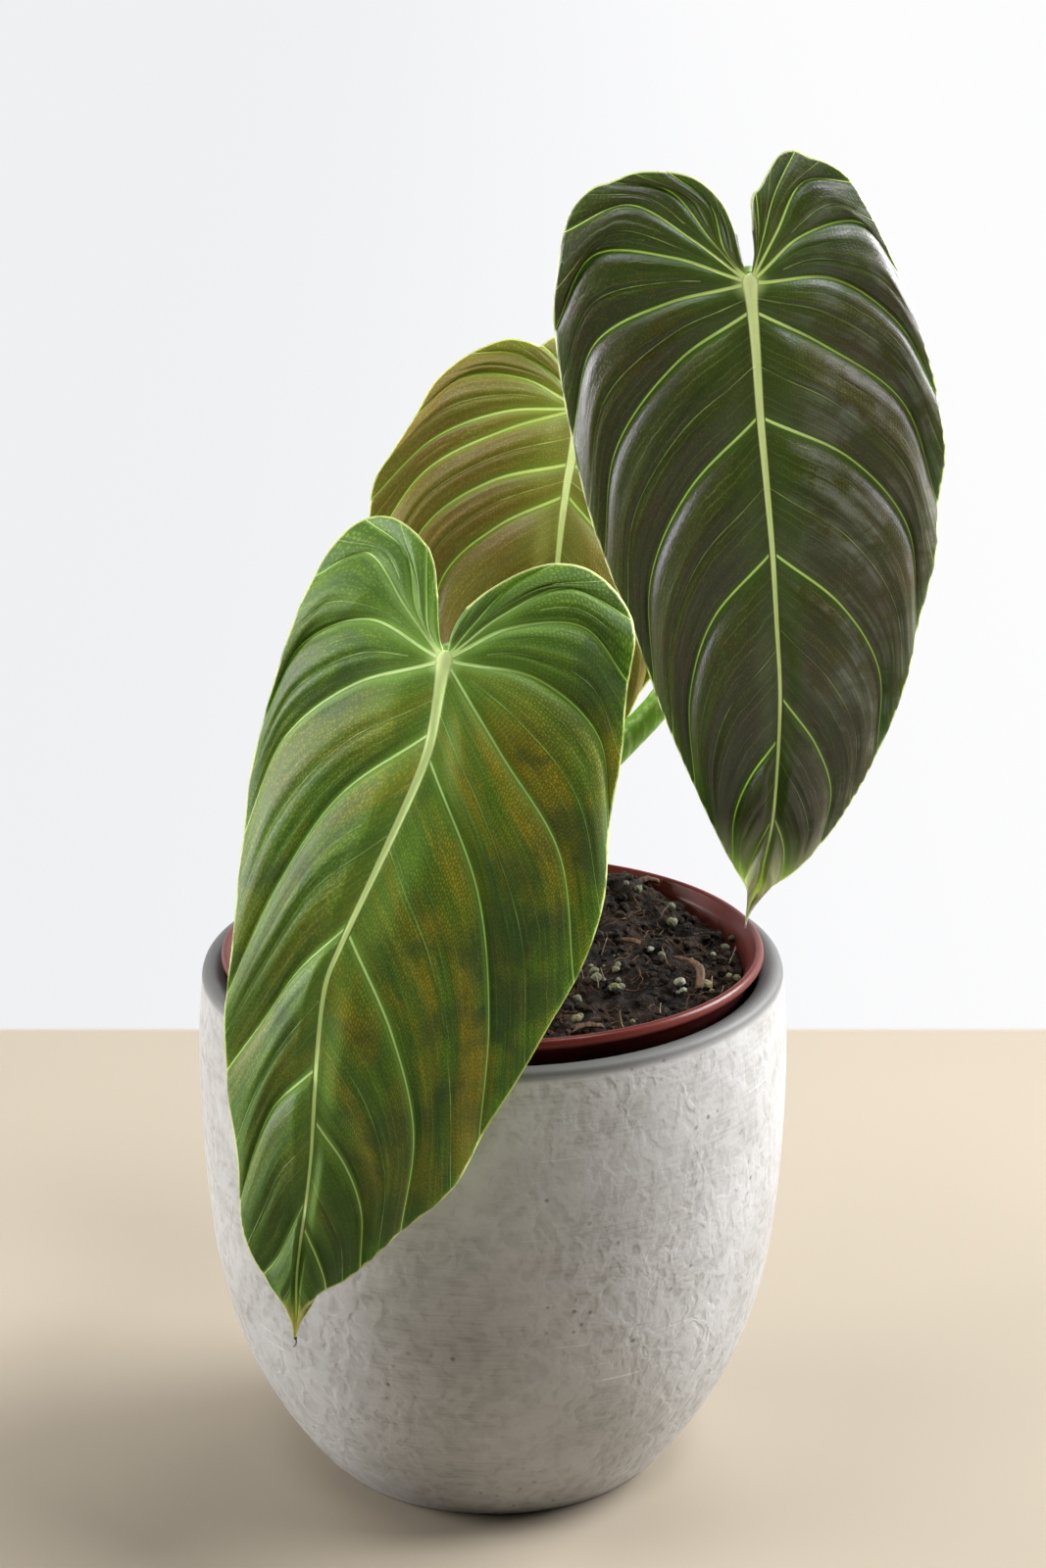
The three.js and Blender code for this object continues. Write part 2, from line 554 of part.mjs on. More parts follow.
// A blade as a grid of lines that follow its veins, puffed between them, with ribs and a waved edge
function blade(leaf, linesPerVein, stepsPerLine) {
  const { joint, down, across, out, length } = hangingAxes(leaf);
  const lines = (leaf.left.veins.length - 1) * linesPerVein;
  const rows = [];
  for (let i = 0; i <= lines; i += 1) {
    const left = halfLine(leaf, -1, length, i / linesPerVein, stepsPerLine);
    const right = halfLine(leaf, 1, length, i / linesPerVein, stepsPerLine);
    rows.push([...left.slice().reverse(), crest(leaf, length, left[0].flat, right[0].flat), ...right]);
  }
  const hang = ({ flat, lift }) => joint.clone()
    .addScaledVector(across, flat.x)
    .addScaledVector(down, flat.y)
    .addScaledVector(out, lift);
  const upper = rows.map((row) => row.map(hang));
  const knotReach = 7;
  const lower = rows.map((row, i) => row.map((point, j) => {
    const east = upper[i][Math.min(j + 1, row.length - 1)].clone().sub(upper[i][Math.max(j - 1, 0)]);
    const south = upper[Math.min(i + 1, lines)][j].clone().sub(upper[Math.max(i - 1, 0)][j]);
    const normal = east.cross(south).normalize();
    if (normal.dot(out) < 0) normal.negate();
    normal.lerp(out, Math.exp(-((point.flat.length() / knotReach) ** 2))).normalize();
    return upper[i][j].clone().addScaledVector(normal, -(BLADE_THICKNESS + point.rib));
  }));
  return sheet(upper, lower);
}

// A closed body between two grids of points that match, split into triangles alike
function sheet(upper, lower) {
  const rows = upper.length;
  const columns = upper[0].length;
  const points = [...upper.flat(), ...lower.flat()];
  const top = (i, j) => i * columns + j;
  const under = (i, j) => rows * columns + i * columns + j;
  const faces = [];
  const quad = (a, b, c, d) => faces.push([a, b, c], [a, c, d]);
  for (let i = 0; i < rows - 1; i += 1) {
    for (let j = 0; j < columns - 1; j += 1) {
      quad(top(i, j), top(i + 1, j), top(i + 1, j + 1), top(i, j + 1));
      faces.push([under(i, j), under(i + 1, j + 1), under(i + 1, j)]);
      faces.push([under(i, j), under(i, j + 1), under(i + 1, j + 1)]);
    }
    const last = columns - 1;
    quad(top(i, 0), under(i, 0), under(i + 1, 0), top(i + 1, 0));
    quad(top(i, last), top(i + 1, last), under(i + 1, last), under(i, last));
  }
  for (let j = 0; j < columns - 1; j += 1) {
    const last = rows - 1;
    quad(top(0, j), top(0, j + 1), under(0, j + 1), under(0, j));
    quad(top(last, j), under(last, j), under(last, j + 1), top(last, j + 1));
  }
  return fromFaces(points, faces);
}

// A leaf stalk, thick where it clasps the stem and thin where it meets the back of the blade
function leafStalk(leaf, clearance) {
  const { joint, out } = hangingAxes(leaf);
  const depth = BLADE_THICKNESS + RIB_DEPTH + RIB_CREST + 2 * GAP;
  const lead = 4;
  const seat = joint.clone().addScaledVector(out, -depth);
  const approach = joint.clone().addScaledVector(out, -depth - lead);
  const clasp = (way) => 0.8 * Math.exp(-way * 14);
  const radiusAt = (way) => STALK_RADIUS - (STALK_RADIUS - STALK_END_RADIUS) * way + clasp(way);
  const route = [...leaf.stalk, approach.toArray(), seat.toArray()];
  const whole = toSolid(stalk(route, radiusAt, 10, 22));
  return toGeometry(whole.subtract(clearance));
}

// Assembly
const plant = new THREE.Group();

function add(name, geometry, material) {
  const mesh = new THREE.Mesh(geometry, material);
  mesh.name = name;
  plant.add(mesh);
}

const VELVET_GREEN = 0x49682f;
const VELVET_OLIVE = 0x3c4523;
const stemRoom = toSolid(stem(GAP));

add('cover_pot', coverPot(), finish(0x9a9793, 0.6));
add('nursery_pot', nurseryPot(), finish(0x8f3f34, 0.4));
add('potting_mix', pottingMix(stemRoom), finish(0x2e2219, 0.95));
add('stem', stem(0), finish(0x5d7a33, 0.5));
for (const leaf of [FRONT_LEAF, RIGHT_LEAF, BACK_LEAF]) {
  const color = leaf === FRONT_LEAF ? VELVET_GREEN : VELVET_OLIVE;
  add(`${leaf.name}_blade`, blade(leaf, 3, 6), finish(color, 0.6));
  add(`${leaf.name}_stalk`, leafStalk(leaf, stemRoom), finish(0x5d9a2a, 0.45));
}

export default plant;
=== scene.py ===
"""Potted black gold philodendron: velvet leaves with raised veins, stalks, stem, potting mix with
pumice and bark, a plastic nursery pot and a hammered stoneware cover pot.

Sizes are in millimetres until a piece is finished, when it is brought to metres."""

import math
import random

import bmesh
import bpy
from mathutils import Matrix, Vector, kdtree, noise


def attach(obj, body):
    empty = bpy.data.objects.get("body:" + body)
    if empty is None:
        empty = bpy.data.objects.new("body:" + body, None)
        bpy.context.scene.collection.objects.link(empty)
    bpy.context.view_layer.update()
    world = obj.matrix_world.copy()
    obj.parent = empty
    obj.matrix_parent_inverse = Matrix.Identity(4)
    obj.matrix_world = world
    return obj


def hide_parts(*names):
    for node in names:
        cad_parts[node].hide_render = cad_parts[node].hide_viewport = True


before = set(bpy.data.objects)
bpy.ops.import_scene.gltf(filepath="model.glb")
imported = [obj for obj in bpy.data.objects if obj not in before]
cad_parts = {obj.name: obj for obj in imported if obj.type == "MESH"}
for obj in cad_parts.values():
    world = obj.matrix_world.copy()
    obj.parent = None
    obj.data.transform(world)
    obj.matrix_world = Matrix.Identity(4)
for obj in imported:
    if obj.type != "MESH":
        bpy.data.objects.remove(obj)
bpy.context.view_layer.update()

# Driving dimensions, in millimetres
MM = 0.001
GAP = 0.3
COVER_RADIUS = 70
COVER_HEIGHT = 128.9
COVER_WALL = 5.9
COVER_FLOOR = 9.5
LEAN = math.radians(1.06)
LIP_RADIUS = 65.2
LIP_TOP = 132.9
LIP_HEIGHT = 2.6
LIP_OVERHANG = 2.6
NURSERY_FOOT_RADIUS = 41.2
NURSERY_FLOOR = COVER_FLOOR + GAP + NURSERY_FOOT_RADIUS * math.sin(LEAN)
NURSERY_WALL = 1.4
NURSERY_FLOOR_TOP = NURSERY_FLOOR + 2.2
FLOOR_FILLET = 0.6
DRAIN_HOLES = 8
DRAIN_HOLE_RADIUS = 3.5
DRAIN_RING_RADIUS = 31
SOIL_TOP = 129.2
MIX_SINK = 1.5
HEAP_PLACE = (25, 35)
HEAP_SPREAD = 18
HEAP_RISE = 3
BANK_PLACE = (28, 46)
BANK_SPREAD = (15, 8)
BANK_RISE = 4.5
GRAIN_FLATNESS = 0.75
BLADE_THICKNESS = 0.8
BLADE_EDGE_THICKNESS = 0.5
RIB_DEPTH = 1.1
RIB_CREST = 0.35
VEIN_DEPTH = 0.35
JOINT_RADIUS = 2.0
MIDRIB_HALF_WIDTH = 1.3
MIDRIB_TIP_HALF_WIDTH = 0.45
VEIN_HALF_WIDTH = 0.36
MINOR_HALF_WIDTH = 0.16
THREAD_SPACING = 1.15
CELL_UNEVENNESS = 0.75
STEM_RADIUS = 5.6
STALK_RADIUS = 3.9
STALK_END_RADIUS = 2.1
STEM_ROUTE = [(-2, 5, 112), (-2, 5, 130), (0, 3, 145), (1, 1, 160), (0, -1, 173), (-1, -2, 182)]
STEM_RINGS = [144, 157, 171]

# Stand-ins for a place that has no vein near it: a distance, and a count of half widths
FAR = 99
OFF_VEIN = 9

# Camera and stage, in metres and radians
CAMERA_PLACE = (0.0073, -0.9685, 0.511)
CAMERA_PITCH = math.radians(70.78)
CAMERA_LENS = 99
CAMERA_SENSOR = 36
FLOOR_ENDS = (0.265, 0.269)
BACKDROP_DISTANCE = 2.9
STUDIO_FILL = 0.035

# Leaves, drawn flat as (across, down) from the knot and then hung between joint and tip. A vein is
# (how far down the midrib it leaves, two points it passes, where it ends, counted in edge points).
FRONT_LEAF = {
    "name": "front_leaf",
    "joint": (-9.8, -78, 228.9),
    "tip": (-44.2, -82, 66.1),
    "yaw": 10,
    "arch": 9,
    "lobe_fall": 0.006,
    "keel": {"left": (0.32, 0.0045), "right": (0.05, 0.0022)},
    "wave": 1.5,
    "midrib": [(0, 0), (14, 1.1), (22, 1), (35, -1.3), (52, -4.9), (68, -8.3), (76, -9.5), (96, -7.7),
               (118, -4.8), (147, -3.1), (160, -1.3), (165, -0.8)],
    "left": {
        "edge": [(-4.8, -12.5), (-7.9, -19.4), (-12, -23), (-20, -24.4), (-27.5, -20.5), (-32, -14),
                 (-35, -4), (-37.3, 10), (-38.7, 30), (-38.4, 43), (-36, 58), (-33.2, 74), (-31.6, 92),
                 (-28.2, 110), (-22.4, 125.5), (-18.7, 139), (-12.5, 150), (-5.2, 157.5), (-1.5, 165)],
        "veins": [(0, (-2.4, -5), (-3.8, -9), 0), (0, (-5, -5), (-7.4, -12), 1.6),
                  (0, (-8.6, -8), (-14.4, -18.5), 3.8), (0, (-11.7, -8.2), (-23.2, -15.6), 5.8),
                  (0, (-19, -2.7), (-33.6, 8.7), 7.9), (0, (-19, 12), (-32.7, 29.7), 9.7),
                  (17, (-16.4, 36), (-25.8, 60), 11.8), (63, (-16.4, 75.5), (-22.4, 90.5), 12.8),
                  (97, (-15.8, 109), (-18.7, 123), 14.8), (130, (-6.5, 138), (-8.5, 146), 16.2),
                  (164, None, None, 18)],
    },
    "right": {
        "edge": [(2, -12), (6, -17), (14, -23), (24, -25), (33, -21), (38.7, -14), (39.7, -3),
                 (42, 12.5), (42.8, 27), (45.6, 44), (44.4, 59), (40, 75), (36, 89), (31.3, 103),
                 (27.3, 117.5), (17, 132), (8, 146.5), (0.8, 154), (0, 165)],
        "veins": [(0, (0.1, -4.8), (0.6, -8.3), 0), (0, (4.6, -9.2), (9.9, -18), 2.45),
                  (0, (9.8, -12.1), (22.3, -20.6), 4.7), (0, (12.2, -9.8), (27.5, -13.1), 5.95),
                  (0, (20, -0.6), (36, 9), 8.1), (0, (17, 17.3), (33.6, 35.3), 10.3),
                  (22, (18.5, 47.7), (27, 76.7), 13.2), (64, (7, 84), (16.3, 106), 14.9),
                  (109, (2.7, 117.3), (8.2, 127.5), 15.7), (136, (0.5, 142), (3, 147), 16.5),
                  (164, None, None, 18)],
    },
    "stalk": [(0, -1, 169), (-3, -24, 192), (-7, -48, 212), (-9, -62, 222)],
}

RIGHT_LEAF = {
    "name": "right_leaf",
    "joint": (59.2, 0, 294.6),
    "tip": (61.2, 8, 133.5),
    "yaw": 0,
    "arch": 9,
    "lobe_fall": 0.005,
    "keel": {"left": (0.1, 0.0028), "right": (0.1, 0.0028)},
    "wave": 1.2,
    "midrib": [(0, 0), (15, 1.3), (30, 2.3), (45, 3.7), (63, 5.3), (82, 6.5), (98, 7.4), (120, 6.8),
               (132, 6), (142, 4.3), (148, 3.2), (152, 1.6), (158, 0.2), (161.5, 0)],
    "left": {
        "edge": [(-2.9, -11), (-6.2, -18), (-12, -22.8), (-18.8, -24.2), (-26, -23.8), (-31.2, -21.2),
                 (-35.4, -19.8), (-41.2, -13.5), (-43.6, -4.7), (-45, 6), (-44.8, 13), (-43.4, 25),
                 (-41.2, 37.4), (-37.7, 53), (-34.4, 63.5), (-30.7, 73.3), (-26, 86), (-21, 101.5),
                 (-15, 116.7), (-8.3, 132), (-2.8, 144.5), (0.3, 151.4), (-0.5, 161.5)],
        "veins": [(0, (-1.6, -4.5), (-2.4, -8), 0), (0, (-5.8, -7.4), (-8.8, -17), 3),
                  (0, (-8.9, -9.6), (-18, -19.6), 5.2), (0, (-13, -9.4), (-27.4, -16.4), 7.5),
                  (0, (-17.5, -5.3), (-35.7, -4.8), 10), (0, (-19.3, 5.2), (-35.6, 15.5), 12.1),
                  (7, (-16.2, 18), (-30.7, 39), 14.2), (31, (-14, 48), (-22.8, 69.7), 16.8),
                  (63, (-8.4, 79), (-13.7, 99), 18.4), (110, (0.6, 119.6), (-2.9, 130), 19.9),
                  (132, (2.6, 138.5), (0.4, 145), 20.7), (160.5, None, None, 22)],
    },
    "right": {
        "edge": [(0.4, -12), (0.6, -18.6), (2.5, -21), (4.2, -24), (6.9, -27.6), (10, -28.5),
                 (13.5, -27.4), (17.6, -26), (22.7, -22.2), (27.8, -14.4), (33.2, -3.3), (39.3, 11.6),
                 (43.5, 27), (45.8, 42), (44.5, 53.3), (44, 66), (40.2, 81.5), (37.7, 94), (32.8, 110),
                 (26, 125.4), (18.4, 138.2), (9, 147.2), (2.2, 152.6), (0.6, 161.5)],
        "veins": [(0, (0.9, -4.5), (0.8, -8.5), 0), (0, (1.6, -6.2), (2, -12.7), 1.5),
                  (0, (2.8, -9.6), (5.6, -19.2), 5.2), (0, (6, -10.9), (12.3, -21.6), 8.2),
                  (0, (11.8, -10), (25.4, -12), 10.3), (0, (19, -0.1), (34.3, 10.9), 12.1),
                  (7, (16.5, 14.5), (35.5, 29.2), 14.1), (31, (23.4, 41.2), (37, 58.3), 16.2),
                  (63, (21.3, 75.8), (30.7, 92.6), 18.3), (99, (16, 111), (20, 124), 20.1),
                  (131, (8.6, 137), (9, 142), 21.1), (160.5, None, None, 23)],
    },
    "stalk": [(1, 2, 155), (14, 6, 165), (31, 10.5, 180), (42, 14, 192), (54, 18, 220),
              (59.5, 20, 254), (60, 18, 278), (59.6, 12, 289)],
}

BACK_LEAF = {
    "name": "back_leaf",
    "joint": (21.2, 50, 252.4),
    "tip": (10.1, 22, 150),
    "yaw": 0,
    "arch": 6,
    "lobe_fall": 0.006,
    "keel": {"left": (0.05, 0.002), "right": (0.05, 0.002)},
    "wave": 1.4,
    "midrib": [(0, 0), (10, -0.7), (20, -1.5), (38, -1.8), (70, -1), (107, 0)],
    "left": {
        "edge": [(-1.6, -12), (-4.5, -17.5), (-8.4, -16.6), (-11.3, -14.4), (-14.5, -15), (-19, -15.2),
                 (-25, -12.6), (-30.5, -8.8), (-36, -2.6), (-39.4, 5), (-44.4, 15), (-47.8, 22),
                 (-48.4, 30), (-47, 39), (-41, 53), (-32, 69), (-22, 84), (-11, 96), (-3, 103),
                 (-0.8, 107)],
        "veins": [(0, (-1.1, -4.5), (-1.4, -8), 0), (0, (-3.1, -5.4), (-6.1, -10.9), 2.9),
                  (0, (-7.3, -7.7), (-17, -12), 6.6), (0, (-14.4, -6), (-29.4, -4.7), 9.2),
                  (0, (-18.3, 2.6), (-34.7, 10.9), 11.7), (0, (-18, 7.2), (-36, 19), 13),
                  (14, (-20, 19.8), (-34.5, 32), 14), (22, (-17.3, 30.6), (-29, 44), 15.2),
                  (48, (-12, 61), (-18, 76), 16.4), (76, (-5.5, 86), (-7.5, 94), 17.6),
                  (106, None, None, 19)],
    },
    "right": {
        "edge": [(1.6, -12), (4, -16), (9, -18.5), (15, -18.5), (22, -16), (29, -11.5), (35, -5),
                 (40, 3), (43.5, 12), (45, 22), (44, 32), (40, 42), (33, 53), (23, 64.5), (18.4, 75),
                 (12.5, 86), (6.5, 95), (3, 101), (1.3, 104), (0.8, 107)],
        "veins": [(0, (1.1, -4.5), (1.4, -8), 0), (0, (3, -6), (6.5, -12), 2.6),
                  (0, (8, -8), (18, -12.5), 5), (0, (13.5, -6.5), (28, -5.5), 7.1),
                  (0, (16, 0), (32, 7), 9), (0, (15, 7.5), (30, 17), 10.7),
                  (14, (16, 21.5), (30, 32), 12), (22, (13, 35), (23, 49), 13.2),
                  (48, (9.5, 61), (14.5, 74), 14.8), (76, (5.5, 86), (6.5, 92), 16.4),
                  (106, None, None, 19)],
    },
    "stalk": [(0, 4, 144), (4, 20, 144), (10, 38, 151), (16, 54, 169), (21, 62, 200), (22.4, 63, 230),
              (22, 60, 243)],
}


# Curves
def along(points, x):
    """Value at x on a smooth line through (x, value) points."""
    if x <= points[0][0]:
        return points[0][1]
    if x >= points[-1][0]:
        return points[-1][1]
    last = len(points) - 1

    def slope(i):
        before, after = points[max(i - 1, 0)], points[min(i + 1, last)]
        return (after[1] - before[1]) / (after[0] - before[0])

    i = max(k for k in range(last) if points[k][0] <= x)
    step = points[i + 1][0] - points[i][0]
    f = (x - points[i][0]) / step
    rise = points[i + 1][1] - points[i][1]
    a = slope(i) * step - rise
    b = rise - slope(i + 1) * step
    return points[i][1] + f * rise + f * (1 - f) * (a * (1 - f) + b * f)


def curve_point(points, t):
    """Point at t, from 0 to 1, on the smooth curve through points, complex numbers or vectors."""
    span = t * (len(points) - 1)
    i = min(int(span), len(points) - 2)
    f = span - i
    p1, p2 = points[i], points[i + 1]
    p0 = points[i - 1] if i > 0 else 2 * p1 - p2
    p3 = points[i + 2] if i + 2 < len(points) else 2 * p2 - p1
    size = (lambda step: step.length) if isinstance(p1, Vector) else abs
    d0, d1, d2 = (max(size(b - a), 1e-6) ** 0.5 for a, b in ((p0, p1), (p1, p2), (p2, p3)))
    start = ((p1 - p0) / d0 - (p2 - p0) / (d0 + d1) + (p2 - p1) / d1) * d1
    end = ((p2 - p1) / d1 - (p3 - p1) / (d1 + d2) + (p3 - p2) / d2) * d1
    rise = p2 - p1
    return p1 + f * start + f * f * (3 * rise - 2 * start - end) + f ** 3 * (start + end - 2 * rise)


def smoothstep(low, high, x):
    f = min(max((x - low) / (high - low), 0), 1)
    return f * f * (3 - 2 * f)


# Pieces
def as_mesh(name, bm):
    mesh = bpy.data.meshes.new(name)
    bm.to_mesh(mesh)
    bm.free()
    return mesh


def placed(name, data):
    """An object with this mesh, curve, camera or light, in the scene."""
    thing = bpy.data.objects.new(name, data)
    bpy.context.scene.collection.objects.link(thing)
    return thing


def evaluated(thing):
    """The mesh that an object's modifiers or bevel make."""
    bpy.context.view_layer.update()
    return bpy.data.meshes.new_from_object(thing.evaluated_get(bpy.context.evaluated_depsgraph_get()))


def finish_piece(name, bm, materials, node=None, smooth=True):
    """A named piece from a mesh in millimetres, riding on the plant."""
    bmesh.ops.scale(bm, vec=(MM, MM, MM), verts=bm.verts)
    mesh = as_mesh(name, bm)
    for material in materials:
        mesh.materials.append(material)
    mesh.polygons.foreach_set("use_smooth", [smooth] * len(mesh.polygons))
    piece = placed(name, mesh)
    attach(piece, "root")
    if node:
        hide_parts(node)
    return piece


def spun(section, steps):
    """A turned mesh from its half section, (radius, height) round its material."""
    bm = bmesh.new()
    verts = [bm.verts.new((radius, 0, height)) for radius, height in section]
    edges = [bm.edges.new(pair) for pair in zip(verts, verts[1:])]
    bmesh.ops.spin(bm, geom=verts + edges, axis=(0, 0, 1), cent=(0, 0, 0), angle=2 * math.pi,
                   steps=steps, use_merge=True)
    bmesh.ops.remove_doubles(bm, verts=bm.verts, dist=0.001)
    bmesh.ops.recalc_face_normals(bm, faces=bm.faces)
    return bm


def rounded(section, parts):
    """The section made smooth, each stretch between its points cut into parts."""
    points = [complex(radius, height) for radius, height in section]
    count = (len(points) - 1) * parts
    fine = [curve_point(points, i / count) for i in range(count + 1)]
    return [(max(point.real, 0), point.imag) for point in fine]


def lean(bm):
    """Tips a mesh with the nursery pot's lean, about the middle of its lip."""
    centre = Matrix.Translation((0, 0, LIP_TOP))
    bmesh.ops.transform(bm, matrix=centre @ Matrix.Rotation(-LEAN, 4, "X") @ centre.inverted(),
                        verts=bm.verts)


def leaned(x, y, z):
    """A point tipped with the nursery pot's lean."""
    return Matrix.Rotation(-LEAN, 3, "X") @ Vector((x, y, z - LIP_TOP)) + Vector((0, 0, LIP_TOP))


# Shader building
def srgb(red, green, blue):
    """A given colour, 0 to 255, as a shader colour."""
    def linear(value):
        value /= 255
        return value / 12.92 if value <= 0.04045 else ((value + 0.055) / 1.055) ** 2.4
    return (linear(red), linear(green), linear(blue), 1)


class Nodes:
    """Places the nodes of one material or group and joins them."""

    def __init__(self, tree):
        self.tree = tree

    def add(self, kind, inputs=None, **settings):
        node = self.tree.nodes.new(kind)
        for name, value in settings.items():
            setattr(node, name, value)
        for name, value in (inputs or {}).items():
            self.feed(node.inputs[name], value)
        return node

    def feed(self, socket, value):
        if isinstance(value, bpy.types.NodeSocket):
            self.tree.links.new(value, socket)
        else:
            socket.default_value = value

    def math(self, operation, a, b):
        return self.add("ShaderNodeMath", {0: a, 1: b}, operation=operation).outputs[0]

    def plus(self, a, b):
        return self.math("ADD", a, b)

    def times(self, a, b):
        return self.math("MULTIPLY", a, b)

    def summed(self, total, *parts):
        """A value with parts of (value, share) added to it."""
        for value, share in parts:
            total = self.plus(total, self.times(value, share))
        return total

    def place(self):
        return self.add("ShaderNodeTexCoord").outputs["Object"]

    def layer(self, name, output="Fac"):
        return self.add("ShaderNodeAttribute", attribute_name=name).outputs[output]

    def part(self, vector, axis):
        return self.add("ShaderNodeSeparateXYZ", {"Vector": vector}).outputs[axis]

    def stretch(self, vector, scale, rotation=(0, 0, 0)):
        inputs = {"Vector": vector, "Scale": scale, "Rotation": rotation}
        return self.add("ShaderNodeMapping", inputs).outputs[0]

    def noise(self, vector, scale, detail=2.0, roughness=0.5, distortion=0.0, output="Fac"):
        return self.add("ShaderNodeTexNoise", {
            "Vector": vector, "Scale": scale, "Detail": detail, "Roughness": roughness,
            "Distortion": distortion}).outputs[output]

    def cells(self, vector, scale, feature="F1", output="Distance", randomness=1.0):
        return self.add("ShaderNodeTexVoronoi", {
            "Vector": vector, "Scale": scale, "Randomness": randomness}, feature=feature).outputs[output]

    def range(self, value, low, high, start=0.0, end=1.0):
        """A soft step from start to end while the value goes from low to high."""
        return self.add("ShaderNodeMapRange", {
            "Value": value, "From Min": low, "From Max": high, "To Min": start, "To Max": end},
            interpolation_type="SMOOTHSTEP").outputs[0]

    def mix(self, share, a, b, blend="MIX"):
        node = self.add("ShaderNodeMix", data_type="RGBA", blend_type=blend)
        self.feed(node.inputs[0], share)
        self.feed(node.inputs[6], a)
        self.feed(node.inputs[7], b)
        return node.outputs[2]

    def layered(self, base, *layers):
        """The base colour under layers of (mask, share, colour), each laid over the one before."""
        for mask, share, colour in layers:
            base = self.mix(self.times(mask, share), base, colour)
        return base

    def group(self, group, **values):
        node = self.add("ShaderNodeGroup", node_tree=group)
        for name, value in values.items():
            self.feed(node.inputs[name.replace("_", " ").capitalize()], value)
        return node.outputs


class Finish(Nodes):
    """A material with its own Principled shader, constants set straight on its sockets."""

    def __init__(self, name, **sockets):
        self.material = bpy.data.materials.new(name)
        self.material.use_nodes = True
        super().__init__(self.material.node_tree)
        self.shader = self.tree.nodes["Principled BSDF"].inputs
        for title, value in sockets.items():
            self.shader[title.replace("_", " ").title().replace("Ior", "IOR")].default_value = value

    def dressed(self, colour, roughness, relief, depth, strength):
        """The material with its colour, its roughness and a relief as deep as this many metres."""
        self.feed(self.shader["Base Color"], colour)
        self.feed(self.shader["Roughness"], roughness)
        bump = self.add("ShaderNodeBump", {"Height": relief, "Distance": depth, "Strength": strength})
        self.feed(self.shader["Normal"], bump.outputs[0])
        return self.material


def shader_group(name, inputs, outputs):
    """An empty shader group with named number inputs and outputs."""
    tree = bpy.data.node_groups.new(name, "ShaderNodeTree")
    for title, value in inputs.items():
        kind = "NodeSocketVector" if value is None else "NodeSocketFloat"
        socket = tree.interface.new_socket(title, in_out="INPUT", socket_type=kind)
        if value is not None:
            socket.default_value = value
    for title in outputs:
        tree.interface.new_socket(title, in_out="OUTPUT", socket_type="NodeSocketFloat")
    nodes = Nodes(tree)
    given = nodes.add("NodeGroupInput").outputs
    result = nodes.add("NodeGroupOutput").inputs
    return tree, nodes, given, result


def grain_group():
    """Fine grain, broad blotches and rare specks, shared by most finishes."""
    tree, nodes, given, result = shader_group(
        "Grain", {"Vector": None, "Grain size": 1.0, "Blotch size": 12.0}, ["Grain", "Blotches", "Specks"])
    place = given["Vector"]
    fine = nodes.math("DIVIDE", 1 / MM, given["Grain size"])
    broad = nodes.math("DIVIDE", 1 / MM, given["Blotch size"])
    dots = nodes.cells(place, nodes.times(fine, 0.35))
    rare = nodes.range(nodes.noise(place, nodes.times(broad, 1.7), 1.0), 0.55, 0.68)
    nodes.feed(result["Grain"], nodes.noise(place, fine, 4.0, 0.6))
    nodes.feed(result["Blotches"], nodes.noise(place, broad, 4.0, 0.55, 0.4))
    nodes.feed(result["Specks"], nodes.times(nodes.range(dots, 0.2, 0.08), rare))
    return tree


def leaf_pattern_group():
    """The masks of a velvet blade. Its weave runs across and along the veins, in millimetres."""
    tree, nodes, given, result = shader_group(
        "Leaf pattern", {"Cell size": 0.85},
        ["Midrib", "Veins", "Minor veins", "Threads", "Halo", "Net", "Cells", "Edge", "Patches", "Folds"])
    weave = nodes.layer("weave", "Vector")
    vein = nodes.layer("vein")
    wander = nodes.noise(weave, 0.3, 2.0)
    minor = nodes.plus(nodes.layer("minor"), nodes.times(wander, 1.5))
    minor_gaps = nodes.range(nodes.noise(nodes.layer("flat", "Vector"), 0.09, 1.0), 0.25, 0.6)
    thread_place = nodes.plus(nodes.part(weave, "X"), nodes.times(wander, 1.6))
    off_thread = nodes.math("PINGPONG", thread_place, THREAD_SPACING)
    thread_gaps = nodes.range(nodes.noise(nodes.stretch(weave, (0.4, 0.05, 1.0)), 1.0, 2.0), 0.42, 0.62)
    finer = nodes.math("DIVIDE", 1.0, given["Cell size"])
    cell_place = nodes.stretch(weave, (1.0, 0.8, 1.0))
    crack = nodes.cells(cell_place, finer, "DISTANCE_TO_EDGE", "Distance", CELL_UNEVENNESS)
    cell = nodes.cells(cell_place, finer, "F1", "Color", CELL_UNEVENNESS)
    cell_shade = nodes.add("ShaderNodeSeparateColor", {"Color": cell}).outputs[0]
    room = nodes.range(nodes.layer("width"), 1.5, 6.0)
    masks = {
        "Midrib": nodes.range(nodes.layer("midrib"), 1.05, 0.65),
        "Veins": nodes.range(vein, 1.15, 0.5),
        "Halo": nodes.range(vein, 6.0, 0.8),
        "Minor veins": nodes.times(nodes.range(minor, 1.9, 0.9), minor_gaps),
        "Threads": nodes.times(nodes.range(off_thread, 0.24, 0.04), thread_gaps),
        "Net": nodes.times(nodes.range(crack, 0.3, 0.08), room),
        "Cells": nodes.times(cell_shade, room),
        "Edge": nodes.range(nodes.layer("edge"), 0.55, 0.28),
        "Patches": nodes.noise(nodes.stretch(weave, (0.075, 0.022, 1.0)), 1.0, 4.0, 0.62, 0.5),
        "Folds": nodes.noise(nodes.stretch(weave, (0.45, 0.03, 1.0)), 1.0, 3.0, 0.6),
    }
    for title, mask in masks.items():
        nodes.feed(result[title], mask)
    return tree


GRAIN = grain_group()
LEAF_PATTERN = leaf_pattern_group()
GLOSS_TINT = srgb(238, 234, 255)
# Colour of the painted sheen laid on fold crests
PAINTED_SHEEN_COLOUR = srgb(164, 166, 168)
BLACK = (0, 0, 0, 1)


